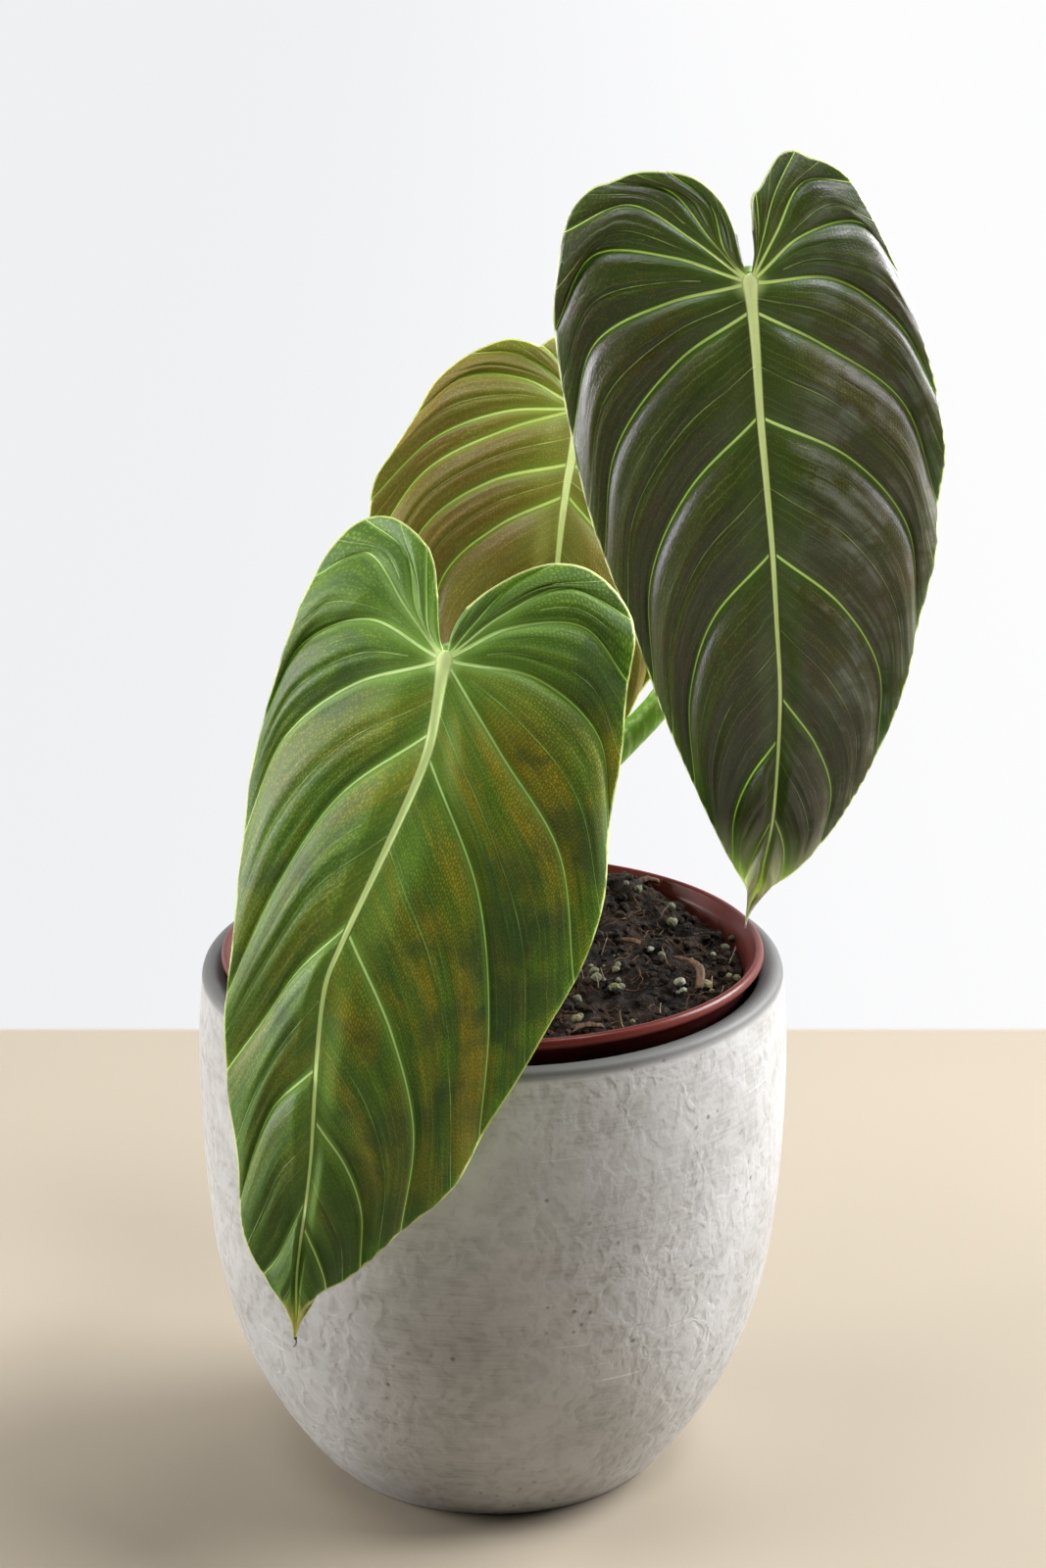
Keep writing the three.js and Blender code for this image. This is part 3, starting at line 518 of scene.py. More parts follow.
def blade_face(name, look):
    """The velvet face of a blade. Places across and down it are in millimetres from the knot."""
    face = Finish(
        name, roughness=look["roughness"], specular_ior_level=look["specular"], specular_tint=GLOSS_TINT,
        sheen_weight=look["sheen"], sheen_roughness=0.35, sheen_tint=look["sheen_tint"],
        subsurface_weight=0.26, subsurface_scale=0.0026, subsurface_radius=(0.7, 1.0, 0.3))
    mask = face.group(LEAF_PATTERN, cell_size=0.75)
    flat = face.layer("flat", "Vector")
    across, down = face.part(flat, "X"), face.part(flat, "Y")
    tip = face.layer("tip")

    def clouds(size, detail, roughness, distortion, low, high):
        return face.range(face.noise(flat, size, detail, roughness, distortion), low, high)

    gold_rows = face.times(face.range(down, *look["gold_top"]), face.range(down, *look["gold_foot"]))
    gold_place = face.times(face.range(across, *look["gold_side"], 0.35, 1.0), gold_rows)
    spotted = face.times(face.range(mask["Patches"], 0.4, 0.68), gold_place)
    gilt = face.times(face.plus(face.times(mask["Cells"], 0.3), 0.65), spotted)
    slate = clouds(0.045, 3.0, 0.55, 0.3, 0.52, 0.66)
    # Painted shade: clouds of dark colour on the right side of the blade, where it folds back into shadow.
    # The slate clouds above are the blade's own mottle.
    turned_back_side = face.range(face.plus(across, face.times(down, 0.3)), 14.0, 42.0)
    painted_fold_shade = face.times(turned_back_side, clouds(0.055, 3.0, 0.55, 0.3, 0.42, 0.62))
    open_cell = face.math("SUBTRACT", 1.0, mask["Net"])
    lit_cells = face.times(open_cell, face.plus(face.times(mask["Cells"], 0.3), 0.45))
    # Painted sheen: a pale grey haze on the fold crests of the right half, standing in for the glossy
    # reflection of the velvet.
    sheen_crests = face.times(face.range(mask["Folds"], 0.35, 0.75), face.range(across, -6.0, 26.0))
    painted_sheen = face.times(sheen_crests, clouds(0.09, 4.0, 0.65, 0.4, 0.4, 0.62))
    rib_grain = face.group(GRAIN, vector=face.place(), grain_size=0.8, blotch_size=6.0)
    rib = face.mix(face.times(rib_grain["Blotches"], 0.35), look["rib"], look["vein"])
    colour = face.layered(
        face.mix(face.range(mask["Folds"], 0.2, 0.8), look["deep"], look["green"]),
        (gilt, look["gold_amount"], look["gold"]),
        (slate, 0.6, look["mottle_and_fold_shade"]),
        (painted_fold_shade, look["fold_shade_share"], look["mottle_and_fold_shade"]),
        (lit_cells, 0.14, look["light"]),
        (mask["Net"], 0.6, look["deep"]),
        (face.range(down, 70.0, 150.0), 0.6, look["deep"]),
        (painted_sheen, look["painted_sheen_share"], PAINTED_SHEEN_COLOUR),
        (mask["Halo"], 0.5, look["halo"]),
        (face.range(face.layer("midrib"), 22.0, 2.0), 0.26, look["halo"]),
        (mask["Threads"], 0.09, look["vein"]),
        (mask["Minor veins"], 0.5, look["vein"]),
        (mask["Veins"], 0.92, look["vein"]),
        (mask["Edge"], 0.85, look["edge"]),
        (face.range(face.layer("knot"), 5.0, 1.0), 0.55, look["vein"]),
        (mask["Midrib"], 1.0, rib),
        (face.range(tip, look["tip_reach"], 5.0), 1.0, look["drip_tip"]),
        (face.range(tip, 2.6, 1.2), 1.0, look["dry_tip"]))
    pale = face.math("MAXIMUM", mask["Midrib"], mask["Veins"])
    pile = face.noise(face.place(), 1300.0, 3.0, 0.7)
    rough = face.summed(look["roughness"] - 0.06, (pile, 0.12), (pale, -0.06))
    relief = face.summed(mask["Veins"], (mask["Net"], -0.14), (mask["Minor veins"], 0.4),
                         (mask["Threads"], 0.12), (mask["Folds"], 0.28), (pile, 0.07))
    return face.dressed(colour, rough, relief, 0.00016, 0.9)


def blade_back(name, green, pale, flush):
    """The smoother, paler underside of a blade with its raised ribs."""
    back = Finish(name, roughness=0.5, specular_ior_level=0.35, sheen_weight=0.1)
    mask = back.group(LEAF_PATTERN, cell_size=0.9)
    ribs = back.math("MAXIMUM", mask["Veins"], mask["Midrib"])
    colour = back.layered(
        back.mix(back.range(mask["Patches"], 0.35, 0.65), green, flush),
        (mask["Net"], 0.35, pale), (mask["Minor veins"], 0.6, pale), (ribs, 1.0, pale))
    rough = back.range(mask["Cells"], 0.0, 1.0, 0.44, 0.56)
    return back.dressed(colour, rough, back.summed(mask["Veins"], (mask["Net"], 0.4)), 0.0002, 0.8)


def stalk_skin(name, shaded_low_colour, lit_high_colour, fleck_colour):
    """Smooth juicy stalk, streaked along its length and flecked, with painted shade low down and painted
    light higher up.
    """
    skin = Finish(name, roughness=0.36, specular_ior_level=0.5, coat_weight=0.1, subsurface_weight=0.08,
                  subsurface_scale=0.004)
    place = skin.place()
    streak = skin.noise(skin.stretch(place, (1.0, 1.0, 0.06)), 900.0, 3.0, 0.6)
    marks = skin.group(GRAIN, vector=skin.stretch(place, (1.0, 1.0, 0.3)), grain_size=0.9, blotch_size=9.0)
    # Darker low down and lighter higher up: painted shade and painted light by height.
    colour = skin.layered(
        skin.mix(skin.range(skin.part(place, "Z"), 0.14, 0.27), shaded_low_colour, lit_high_colour),
        (skin.range(streak, 0.45, 0.75), 1.0, fleck_colour), (marks["Blotches"], 0.35, shaded_low_colour),
        (marks["Specks"], 0.8, fleck_colour))
    rough = skin.range(marks["Grain"], 0.3, 0.7, 0.3, 0.48)
    return skin.dressed(colour, rough, skin.plus(streak, marks["Grain"]), 0.00012, 0.6)


def stoneware():
    """Pale grey stoneware with hammered, crackled relief, fine scratches and a smooth rim darkened with
    painted shade.
    """
    stone = Finish("Hammered stoneware", roughness=0.6, specular_ior_level=0.38)
    place = stone.place()
    height = stone.part(place, "Z")
    grain = stone.group(GRAIN, vector=place, grain_size=1.4, blotch_size=26.0)
    blotches = grain["Blotches"]
    warp = stone.noise(place, 90.0, 3.0, 0.6, output="Color")
    drift = stone.add("ShaderNodeVectorMath", {0: warp, "Scale": 0.012}, operation="SCALE").outputs[0]
    moved = stone.add("ShaderNodeVectorMath", {0: place, 1: drift}, operation="ADD").outputs[0]
    worms = stone.range(stone.cells(stone.stretch(moved, (1.0, 1.0, 0.75)), 330.0, "SMOOTH_F1"), 0.15, 0.6)
    pits = stone.range(stone.cells(moved, 640.0, "SMOOTH_F1"), 0.1, 0.6)
    worked = stone.range(stone.noise(place, 34.0, 3.0, 0.6, 0.5), 0.34, 0.6, 0.6, 1.0)
    below_rim = stone.range(height, 0.127, 0.1245)
    ridge = stone.times(stone.times(stone.summed(worms, (pits, 0.35)), worked), below_rim)
    turning = stone.noise(stone.stretch(place, (1.0, 1.0, 14.0)), 90.0, 4.0, 0.7)
    brushed = stone.times(stone.range(turning, 0.42, 0.66), stone.range(blotches, 0.62, 0.4))
    lines = stone.noise(stone.stretch(place, (3.0, 3.0, 130.0), (0.03, 0.04, 0.0)), 9.0, 1.0)
    scratch = stone.times(stone.range(lines, 0.7, 0.74), stone.range(blotches, 0.5, 0.62))
    tone = stone.layered(
        stone.mix(blotches, srgb(144, 142, 139), srgb(192, 192, 193)),
        (brushed, 0.5, srgb(124, 119, 111)),
        (ridge, 0.3, srgb(210, 212, 216)),
        (grain["Grain"], 0.25, srgb(150, 147, 143)),
        # Painted shade: the rim roll is darkened to stand in for the shade on it.
        (stone.range(height, 0.1255, 0.1275), 0.9, srgb(84, 84, 83)),
        (scratch, 0.5, srgb(228, 226, 222)),
        (grain["Specks"], 0.7, srgb(92, 84, 76)))
    rough = stone.range(stone.plus(ridge, turning), 0.3, 1.4, 0.58, 0.36)
    relief = stone.summed(ridge, (turning, 0.5), (grain["Grain"], 0.22), (scratch, -0.4))
    return stone.dressed(tone, rough, relief, 0.00018, 0.7)


def nursery_plastic():
    """Brick-red injection-moulded plastic with fine scuffs and a dusting of potting mix."""
    plastic = Finish("Nursery pot plastic", roughness=0.46, specular_ior_level=0.15, coat_weight=0.2,
                     coat_roughness=0.18)
    place = plastic.place()
    grain = plastic.group(GRAIN, vector=place, grain_size=0.7, blotch_size=18.0)
    below_lip = plastic.range(plastic.part(place, "Z"), 0.1315, 0.125)
    dusty = plastic.times(below_lip, plastic.range(grain["Grain"], 0.4, 0.62))
    scuffs = plastic.noise(plastic.stretch(place, (1.0, 1.0, 14.0)), 320.0, 3.0, 0.6)
    red = plastic.layered(
        plastic.mix(grain["Blotches"], srgb(84, 27, 21), srgb(100, 35, 28)),
        (dusty, 0.6, srgb(64, 40, 32)), (grain["Specks"], 0.6, srgb(50, 34, 26)))
    rough = plastic.range(plastic.plus(scuffs, dusty), 0.3, 1.3, 0.36, 0.64)
    return plastic.dressed(red, rough, plastic.plus(scuffs, grain["Grain"]), 0.00008, 0.5)


def mix_soil(name, dark, brown, fleck, depth):
    """Damp fibrous potting mix."""
    soil = Finish(name, roughness=0.92, specular_ior_level=0.2)
    place = soil.place()
    grain = soil.group(GRAIN, vector=place, grain_size=1.6, blotch_size=9.0)
    fibre = soil.noise(soil.stretch(place, (1.0, 0.25, 1.0), (0.2, 0.1, 0.7)), 900.0, 4.0, 0.7, 1.2)
    tone = soil.layered(
        soil.mix(soil.range(grain["Blotches"], 0.38, 0.66), dark, brown),
        (soil.range(fibre, 0.5, 0.72), 0.7, fleck), (soil.range(grain["Grain"], 0.6, 0.35), 0.8, dark))
    rough = soil.range(grain["Grain"], 0.3, 0.7, 0.7, 0.98)
    return soil.dressed(tone, rough, soil.plus(fibre, grain["Grain"]), depth, 1.0)


def mineral(name, pale, shade, tint):
    """Porous grain of pumice or perlite."""
    stone = Finish(name, roughness=0.85, specular_ior_level=0.25)
    place = stone.place()
    grain = stone.group(GRAIN, vector=place, grain_size=0.5, blotch_size=7.0)
    pores = stone.cells(place, 1500.0)
    # Painted shade darkens the pores.
    tone = stone.layered(
        stone.mix(stone.range(grain["Blotches"], 0.4, 0.6), pale, tint),
        (stone.range(pores, 0.35, 0.1), 0.8, shade), (grain["Grain"], 0.35, shade))
    rough = stone.range(pores, 0.1, 0.6, 0.95, 0.75)
    return stone.dressed(tone, rough, stone.plus(pores, grain["Grain"]), 0.0003, 0.9)


def bark_fibre(name, light, dark):
    """Fibrous bark and roots, streaked."""
    bark = Finish(name, roughness=0.75, specular_ior_level=0.3)
    place = bark.place()
    grain = bark.group(GRAIN, vector=place, grain_size=0.9, blotch_size=5.0)
    streak = bark.noise(bark.stretch(place, (1.0, 0.12, 0.5), (0.0, 0.0, 0.2)), 1400.0, 3.0, 0.7)
    tone = bark.layered(bark.mix(bark.range(streak, 0.35, 0.65), dark, light), (grain["Blotches"], 0.5, dark))
    rough = bark.range(grain["Grain"], 0.3, 0.7, 0.6, 0.85)
    return bark.dressed(tone, rough, bark.plus(streak, grain["Grain"]), 0.0003, 0.9)


# Pots
def make_cover_pot(material):
    """The turned cover pot: belly, rounded rim that slopes inwards, inner wall and flat foot."""
    belly = [(44.5, 3.9), (49.4, 10.3), (55.2, 19.3), (61.5, 32.2), (67.1, 51.5), (69.7, 70.9),
             (70.9, 90.2), (71.1, 109.5), (70.55, 120), (COVER_RADIUS, COVER_HEIGHT - 2.3)]
    rim = [(COVER_RADIUS - 0.05, COVER_HEIGHT - 2.1), (COVER_RADIUS - 0.6, COVER_HEIGHT - 0.7),
           (COVER_RADIUS - 2, COVER_HEIGHT), (COVER_RADIUS - 4, COVER_HEIGHT - 0.5),
           (COVER_RADIUS - 5.6, COVER_HEIGHT - 1.6), (COVER_RADIUS - 6.2, COVER_HEIGHT - 4)]
    inside = [(radius - COVER_WALL, height) for radius, height in reversed(belly[2:8])]
    floor = [(45, COVER_FLOOR + 3), (43.5, COVER_FLOOR + 0.7), (41.5, COVER_FLOOR), (0, COVER_FLOOR)]
    foot = [(0, 0), (39.8, 0), (40.6, 0.15), (41.1, 0.8)]
    section = foot + rounded(belly, 6) + rounded(rim, 4) + rounded(inside, 3) + floor
    finish_piece("cover_pot_stoneware", spun(section, 192), [material], "cover_pot")


def make_nursery_pot(material):
    """The thin tapered pot with its rolled lip, leaning a little, and its ring of drain holes."""
    lip_foot = LIP_TOP - LIP_HEIGHT
    wall_top = LIP_RADIUS - LIP_OVERHANG
    roll = [(LIP_RADIUS - 0.4, lip_foot), (LIP_RADIUS, lip_foot + 0.6), (LIP_RADIUS, LIP_TOP - 1.1),
            (LIP_RADIUS - 0.35, LIP_TOP - 0.3), (LIP_RADIUS - 1, LIP_TOP), (LIP_RADIUS - 1.7, LIP_TOP - 0.2),
            (LIP_RADIUS - 2.2, LIP_TOP - 0.9), (wall_top - NURSERY_WALL, lip_foot - 1)]
    outside = [(0, NURSERY_FLOOR), (NURSERY_FOOT_RADIUS - 1.5, NURSERY_FLOOR),
               (NURSERY_FOOT_RADIUS - 0.4, NURSERY_FLOOR + 0.4), (NURSERY_FOOT_RADIUS, NURSERY_FLOOR + 1.5),
               (wall_top, lip_foot - 0.1)]
    inside = [(NURSERY_FOOT_RADIUS - NURSERY_WALL, NURSERY_FLOOR_TOP + FLOOR_FILLET), (0, NURSERY_FLOOR_TOP)]
    bm = spun(outside + rounded(roll, 3) + inside, 144)
    lean(bm)
    pot = finish_piece("nursery_pot_plastic", bm, [material], "nursery_pot")
    holes = bmesh.new()
    for i in range(DRAIN_HOLES):
        angle = 2 * math.pi * i / DRAIN_HOLES
        place = (DRAIN_RING_RADIUS * math.cos(angle), DRAIN_RING_RADIUS * math.sin(angle), NURSERY_FLOOR)
        drill = bmesh.ops.create_cone(holes, cap_ends=True, segments=24, radius1=DRAIN_HOLE_RADIUS,
                                      radius2=DRAIN_HOLE_RADIUS, depth=12)
        bmesh.ops.translate(holes, verts=drill["verts"], vec=place)
    lean(holes)
    bmesh.ops.scale(holes, vec=(MM, MM, MM), verts=holes.verts)
    cutter = placed("drain_hole_cutters", as_mesh("drain_hole_cutters", holes))
    cut = pot.modifiers.new("Drain holes", "BOOLEAN")
    cut.object = cutter
    cut.solver = "EXACT"
    drilled = evaluated(pot)
    pot.modifiers.clear()
    pot.data = drilled
    bpy.data.objects.remove(cutter)


# Potting mix
def inside_radius(height):
    """Inner radius of the nursery pot at a height."""
    low = (NURSERY_FOOT_RADIUS - NURSERY_WALL, NURSERY_FLOOR_TOP + FLOOR_FILLET)
    high = (LIP_RADIUS - LIP_OVERHANG - NURSERY_WALL, LIP_TOP - LIP_HEIGHT - 1)
    return low[0] + (high[0] - low[0]) * (height - low[1]) / (high[1] - low[1])


def soil_height(x, y):
    """Height of the mix: a low heap at the back, lumps, and a fall towards the wall."""
    from_heap = (x - HEAP_PLACE[0]) ** 2 + (y - HEAP_PLACE[1]) ** 2
    heap = HEAP_RISE * math.exp(-from_heap / (2 * HEAP_SPREAD ** 2))
    sink = MIX_SINK * (math.hypot(x, y) / inside_radius(SOIL_TOP)) ** 4
    lumps = (0.9 * math.sin(0.31 * x + 1.1) * math.sin(0.27 * y - 0.4)
             + 0.6 * math.sin(0.62 * x - 0.5 * y) * math.cos(0.55 * y + 0.3 * x))
    return SOIL_TOP + heap - sink + lumps


def crumbs(x, y):
    """Rough crumb relief on the top of the mix, banked against the rear wall."""
    coarse = noise.turbulence(Vector((x, y, 3)) * 0.16, 4, False)
    fine = noise.noise(Vector((x, y, 9)) * 0.55)
    u = (x - BANK_PLACE[0]) / BANK_SPREAD[0]
    v = (y - BANK_PLACE[1]) / BANK_SPREAD[1]
    banked = BANK_RISE * math.exp(-u ** 2 / 2 - v ** 2 / 2)
    return banked + 1.9 * coarse + 0.6 * fine - 1.4


def on_mix(x, y, rise, lowest=0):
    """A point this much above the mix, where hollows deeper than the lowest crumb are bridged."""
    return leaned(x, y, soil_height(x, y) + max(crumbs(x, y), lowest) + rise)


def make_mix(material):
    """The bed of potting mix: a crumbly top over a plain body that fills the pot."""
    bm = bmesh.new()
    bmesh.ops.create_grid(bm, x_segments=120, y_segments=120, size=1)
    top_radius = inside_radius(SOIL_TOP - 4) - GAP
    for vert in bm.verts:
        x, y = vert.co.x, vert.co.y
        u = x * math.sqrt(1 - y * y / 2) * top_radius
        v = y * math.sqrt(1 - x * x / 2) * top_radius
        vert.co = (u, v, soil_height(u, v) + crumbs(u, v))
    base = NURSERY_FLOOR_TOP + FLOOR_FILLET + GAP
    shrink = (inside_radius(base) - 2 * GAP) / top_radius
    sides = bmesh.ops.extrude_face_region(bm, geom=bm.faces[:])
    for vert in [item for item in sides["geom"] if isinstance(item, bmesh.types.BMVert)]:
        vert.co = (vert.co.x * shrink, vert.co.y * shrink, base)
    bmesh.ops.recalc_face_normals(bm, faces=bm.faces)
    lean(bm)
    finish_piece("potting_mix_bed", bm, [material], "potting_mix")


def clear_of_stem(x, y, room):
    return math.hypot(x - STEM_ROUTE[1][0], y - STEM_ROUTE[1][1]) > room


def random_spot(draw, reach):
    spread = reach * math.sqrt(draw.random())
    angle = draw.uniform(0, 2 * math.pi)
    return spread * math.cos(angle), spread * math.sin(angle)


def scattered(name, material, count, sizes, seed, sink, places=(), detail=1):
    """Grains or crumbs set into the top of the mix, some at named places (x, y, size)."""
    draw = random.Random(seed)
    reach = inside_radius(SOIL_TOP) - 3.5
    spots = list(places)
    while len(spots) < count:
        x, y = random_spot(draw, reach)
        if clear_of_stem(x, y, 9):
            spots.append((x, y, draw.uniform(*sizes) * draw.uniform(0.7, 1)))
    bm = bmesh.new()
    for x, y, size in spots:
        lump = bmesh.ops.create_icosphere(bm, subdivisions=detail, radius=size / 2)["verts"]
        for vert in lump:
            vert.co *= 1 + 0.28 * noise.noise(vert.co * 1.1 + Vector((x, y, seed)))
        turn = Matrix.Rotation(draw.uniform(0, 6.28), 4, "Z")
        turn = turn @ Matrix.Rotation(draw.uniform(-0.6, 0.6), 4, "X")
        shape = Matrix.Diagonal((1, draw.uniform(0.65, 1), GRAIN_FLATNESS, 1))
        level = Matrix.Translation(on_mix(x, y, size * sink))
        bmesh.ops.transform(bm, matrix=level @ turn @ shape, verts=lump)
    finish_piece(name, bm, [material], smooth=detail > 1)


def tube_mesh(routes, sides):
    """Round tubes along routes of (point, radius), as one mesh in millimetres."""
    curve = bpy.data.curves.new("tubes", "CURVE")
    curve.dimensions = "3D"
    curve.bevel_depth = 1
    curve.bevel_resolution = sides
    curve.use_fill_caps = True
    for route in routes:
        spline = curve.splines.new("POLY")
        spline.points.add(len(route) - 1)
        for point, (place, radius) in zip(spline.points, route):
            point.co = (*place, 1)
            point.radius = radius
    holder = placed("tubes", curve)
    mesh = evaluated(holder)
    bpy.data.objects.remove(holder)
    bm = bmesh.new()
    bm.from_mesh(mesh)
    bpy.data.meshes.remove(mesh)
    bmesh.ops.remove_doubles(bm, verts=bm.verts, dist=0.0005)
    bmesh.ops.recalc_face_normals(bm, faces=bm.faces)
    return bm


def make_fibres(name, material, count, seed, lengths, radius, upright, places=()):
    """Fine roots or coir threads, lying on the mix or standing out of it."""
    draw = random.Random(seed)
    reach = inside_radius(SOIL_TOP) - 5
    steps = 9
    routes = []
    for i in range(count):
        length = draw.uniform(*lengths)
        if i < len(places):
            x, y, length = places[i]
        else:
            x, y = random_spot(draw, reach)
        if not clear_of_stem(x, y, 10):
            continue
        heading = draw.uniform(0, 2 * math.pi)
        stride = length / steps
        lift = 0.15
        route = []
        for step in range(steps):
            if math.hypot(x, y) > reach + 3:
                break
            route.append((on_mix(x, y, lift, -0.4), radius * (1 - 0.6 * step / steps)))
            heading += draw.uniform(-0.45, 0.45)
            x += stride * math.cos(heading) * (1 - upright)
            y += stride * math.sin(heading) * (1 - upright)
            lift += stride * upright
        if len(route) > 3:
            routes.append(route)
    finish_piece(name, tube_mesh(routes, 1), [material])


def make_bark(material, pieces):
    """Curled strips of bark on the mix: (x, y, length, width, heading, curl)."""
    bm = bmesh.new()
    for x, y, length, width, heading, curl in pieces:
        strip = bmesh.ops.create_grid(bm, x_segments=14, y_segments=5, size=0.5)["verts"]
        for vert in strip:
            run, side = vert.co.x * length, vert.co.y * width
            bow = curl * math.cos(math.pi * vert.co.x)
            fray = 0.35 * noise.noise(Vector((run * 0.6, side * 2, x)))
            sag = 0.7 * vert.co.y ** 2 * width
            vert.co = (run, side + bow * 0.9, 0.5 * bow - sag + fray + 0.6)
        faces = list({face for vert in strip for face in vert.link_faces})
        turn = Matrix.Translation(on_mix(x, y, 0.5)) @ Matrix.Rotation(heading, 4, "Z")
        bmesh.ops.transform(bm, matrix=turn, verts=strip)
        bmesh.ops.solidify(bm, geom=faces, thickness=0.5)
    bmesh.ops.recalc_face_normals(bm, faces=bm.faces)
    finish_piece("bark_strips", bm, [material])


# Leaves
def hanging_axes(leaf):
    """Where a blade hangs from, its directions down, across and out of its face, and its length."""
    joint = Vector(leaf["joint"])
    down = Vector(leaf["tip"]) - joint
    length = down.length
    down.normalize()
    level = Vector((0, 1, 0)).cross(down).normalized()
    if level.x < 0:
        level.negate()
    face = down.cross(level)
    if face.y > 0:
        face.negate()
    turn = math.radians(leaf["yaw"])
    across = level * math.cos(turn) + face * math.sin(turn)
    out = face * math.cos(turn) - level * math.sin(turn)
    return joint, down, across, out, length


def bend(leaf, length, u, v):
    """How far a blade arches out of its flat outline at a point."""
    reach = v / length
    arch = leaf["arch"] * (math.sin(math.pi * min(reach, 1)) if v > 0 else math.pi * reach)
    lobe = leaf["lobe_fall"] * v * v if v < 0 else 0
    painted_light_side = u - along(leaf["midrib"], v)
    slope, curl = leaf["keel"]["left" if painted_light_side < 0 else "right"]
    return arch - lobe - slope * abs(painted_light_side) - curl * painted_light_side * painted_light_side


def midrib_half_width(v, length):
    knot = (JOINT_RADIUS - MIDRIB_HALF_WIDTH) * math.exp(-v / 5)
    return knot + MIDRIB_HALF_WIDTH - (MIDRIB_HALF_WIDTH - MIDRIB_TIP_HALF_WIDTH) * min(v / length, 1)


def rib_narrowing(v, length):
    """How much narrower the pale part of the midrib is than the raised rib itself."""
    return 1 + 0.6 * smoothstep(0, 0.6, v / length)


def vein_start(vein):
    """How far down the midrib a vein leaves it, or how far round the knot it leaves, below zero."""
    if vein[0] > 0:
        return vein[0]
    u, v = vein[1]
    return JOINT_RADIUS * max(math.atan2(v, abs(u)), math.radians(-75))


def foot_at(leaf, side, length, start):
    if start >= 0:
        return complex(along(leaf["midrib"], start) + side * midrib_half_width(start, length), start)
    angle = start / JOINT_RADIUS
    return complex(side * JOINT_RADIUS * math.cos(angle), JOINT_RADIUS * math.sin(angle))


def blade_line(leaf, half, side, length, place):
    """The four points of one line of a half blade, at a place counted in veins."""
    edge = [complex(u, v) for u, v in half["edge"]]
    veins = half["veins"]
    index = min(int(place), len(veins) - 2)
    share = place - index
    near, after = veins[index], veins[index + 1]

    def blend(a, b):
        return a + (b - a) * share

    foot = foot_at(leaf, side, length, blend(vein_start(near), vein_start(after)))
    head = curve_point(edge, blend(near[3], after[3]) / (len(edge) - 1))

    def via(vein, k):
        if vein[k]:
            return complex(*vein[k])
        start = foot_at(leaf, side, length, vein[0])
        return start + (curve_point(edge, vein[3] / (len(edge) - 1)) - start) * k / 3

    return [foot] + [blend(via(near, k), via(after, k)) for k in (1, 2)] + [head]


def puff(width, share, t, place):
    """Rise of the blade between two veins, fullest next to the upper one, with pleats along it."""
    drift = share ** 0.72
    swell = min(0.16 * width, 3.0) * (1 - (2 * drift - 1) ** 2) * (1 - 0.6 * t ** 4)
    wide = smoothstep(5, 13, width)
    pleat = 0.45 * wide * math.exp(-((share - 0.5) / 0.055) ** 2)
    pleat *= smoothstep(0.05, 0.2, t) * smoothstep(1, 0.7, t)
    uneven = 1 + 1.1 * noise.noise(Vector((place * 2.3, t * 3.1, 0)))
    ripple = 0.17 * wide * uneven * math.cos(share * 8 * math.pi)
    ripple *= smoothstep(0.08, 0.4, t) * smoothstep(1, 0.6, t)
    return swell * (0.25 + 0.75 * smoothstep(0, 0.16, t)) - pleat - ripple


def slender(leaf, length, flat):
    """Draws the blade in towards its midrib over the last of its drip tip."""
    middle = along(leaf["midrib"], flat.imag)
    share = 0.72 * smoothstep(length - 13, length - 1, flat.imag)
    return complex(flat.real + (middle - flat.real) * share, flat.imag)


def edge_wave(leaf, side, place, spaces, t):
    return leaf["wave"] * t ** 3 * math.sin(place * 2.6 + side * 1.3) * min(place, spaces - place, 1)


def half_row(leaf, side, length, place, steps):
    """One line of a half blade: flat point, lift, rib below and the facts its finish reads."""
    half = leaf["left"] if side < 0 else leaf["right"]
    spaces = len(half["veins"]) - 1
    cell = min(int(place), spaces - 1)
    share = place - cell
    line = blade_line(leaf, half, side, length, place)
    veins = [blade_line(leaf, half, side, length, k) for k in range(cell + 2)]
    above, below = veins[cell], veins[cell + 1]
    reaches = [abs(curve_point(a, 0.5) - curve_point(b, 0.5)) for a, b in zip(veins, veins[1:])]
    threads = sum(reaches[:cell]) + reaches[cell] * share
    row = []
    run = 0
    before = line[0]
    for j in range(steps + 1):
        t = j / steps
        flat = curve_point(line, t)
        run += abs(flat - before)
        before = flat
        width = abs(curve_point(above, t) - curve_point(below, t))
        to_above = share * width if cell > 0 else FAR
        to_below = (1 - share) * width if cell + 1 < spaces else FAR
        to_vein = min(to_above, to_below)
        vein_rib = VEIN_DEPTH * (1 - t) * math.exp(-(to_vein / 0.8) ** 2)
        rise = puff(width, share, t, place + 20 * side) + edge_wave(leaf, side, place, spaces, t)
        from_midrib = 1 + run / midrib_half_width(max(flat.imag, 0), length)
        row.append({
            "flat": slender(leaf, length, flat),
            "lift": bend(leaf, length, flat.real, flat.imag) + rise,
            "rib": (RIB_DEPTH / 2) * math.exp(-run / 1.2) + vein_rib,
            "vein": to_vein / (VEIN_HALF_WIDTH * (1 - t) ** 0.8 + 0.12),
            "minor": abs(share - 0.5) * width / MINOR_HALF_WIDTH if width > 6 else OFF_VEIN,
            "midrib": from_midrib * rib_narrowing(flat.imag, length),
            "width": width,
            "weave": (threads, side * run, side * 40),
        })
    return row


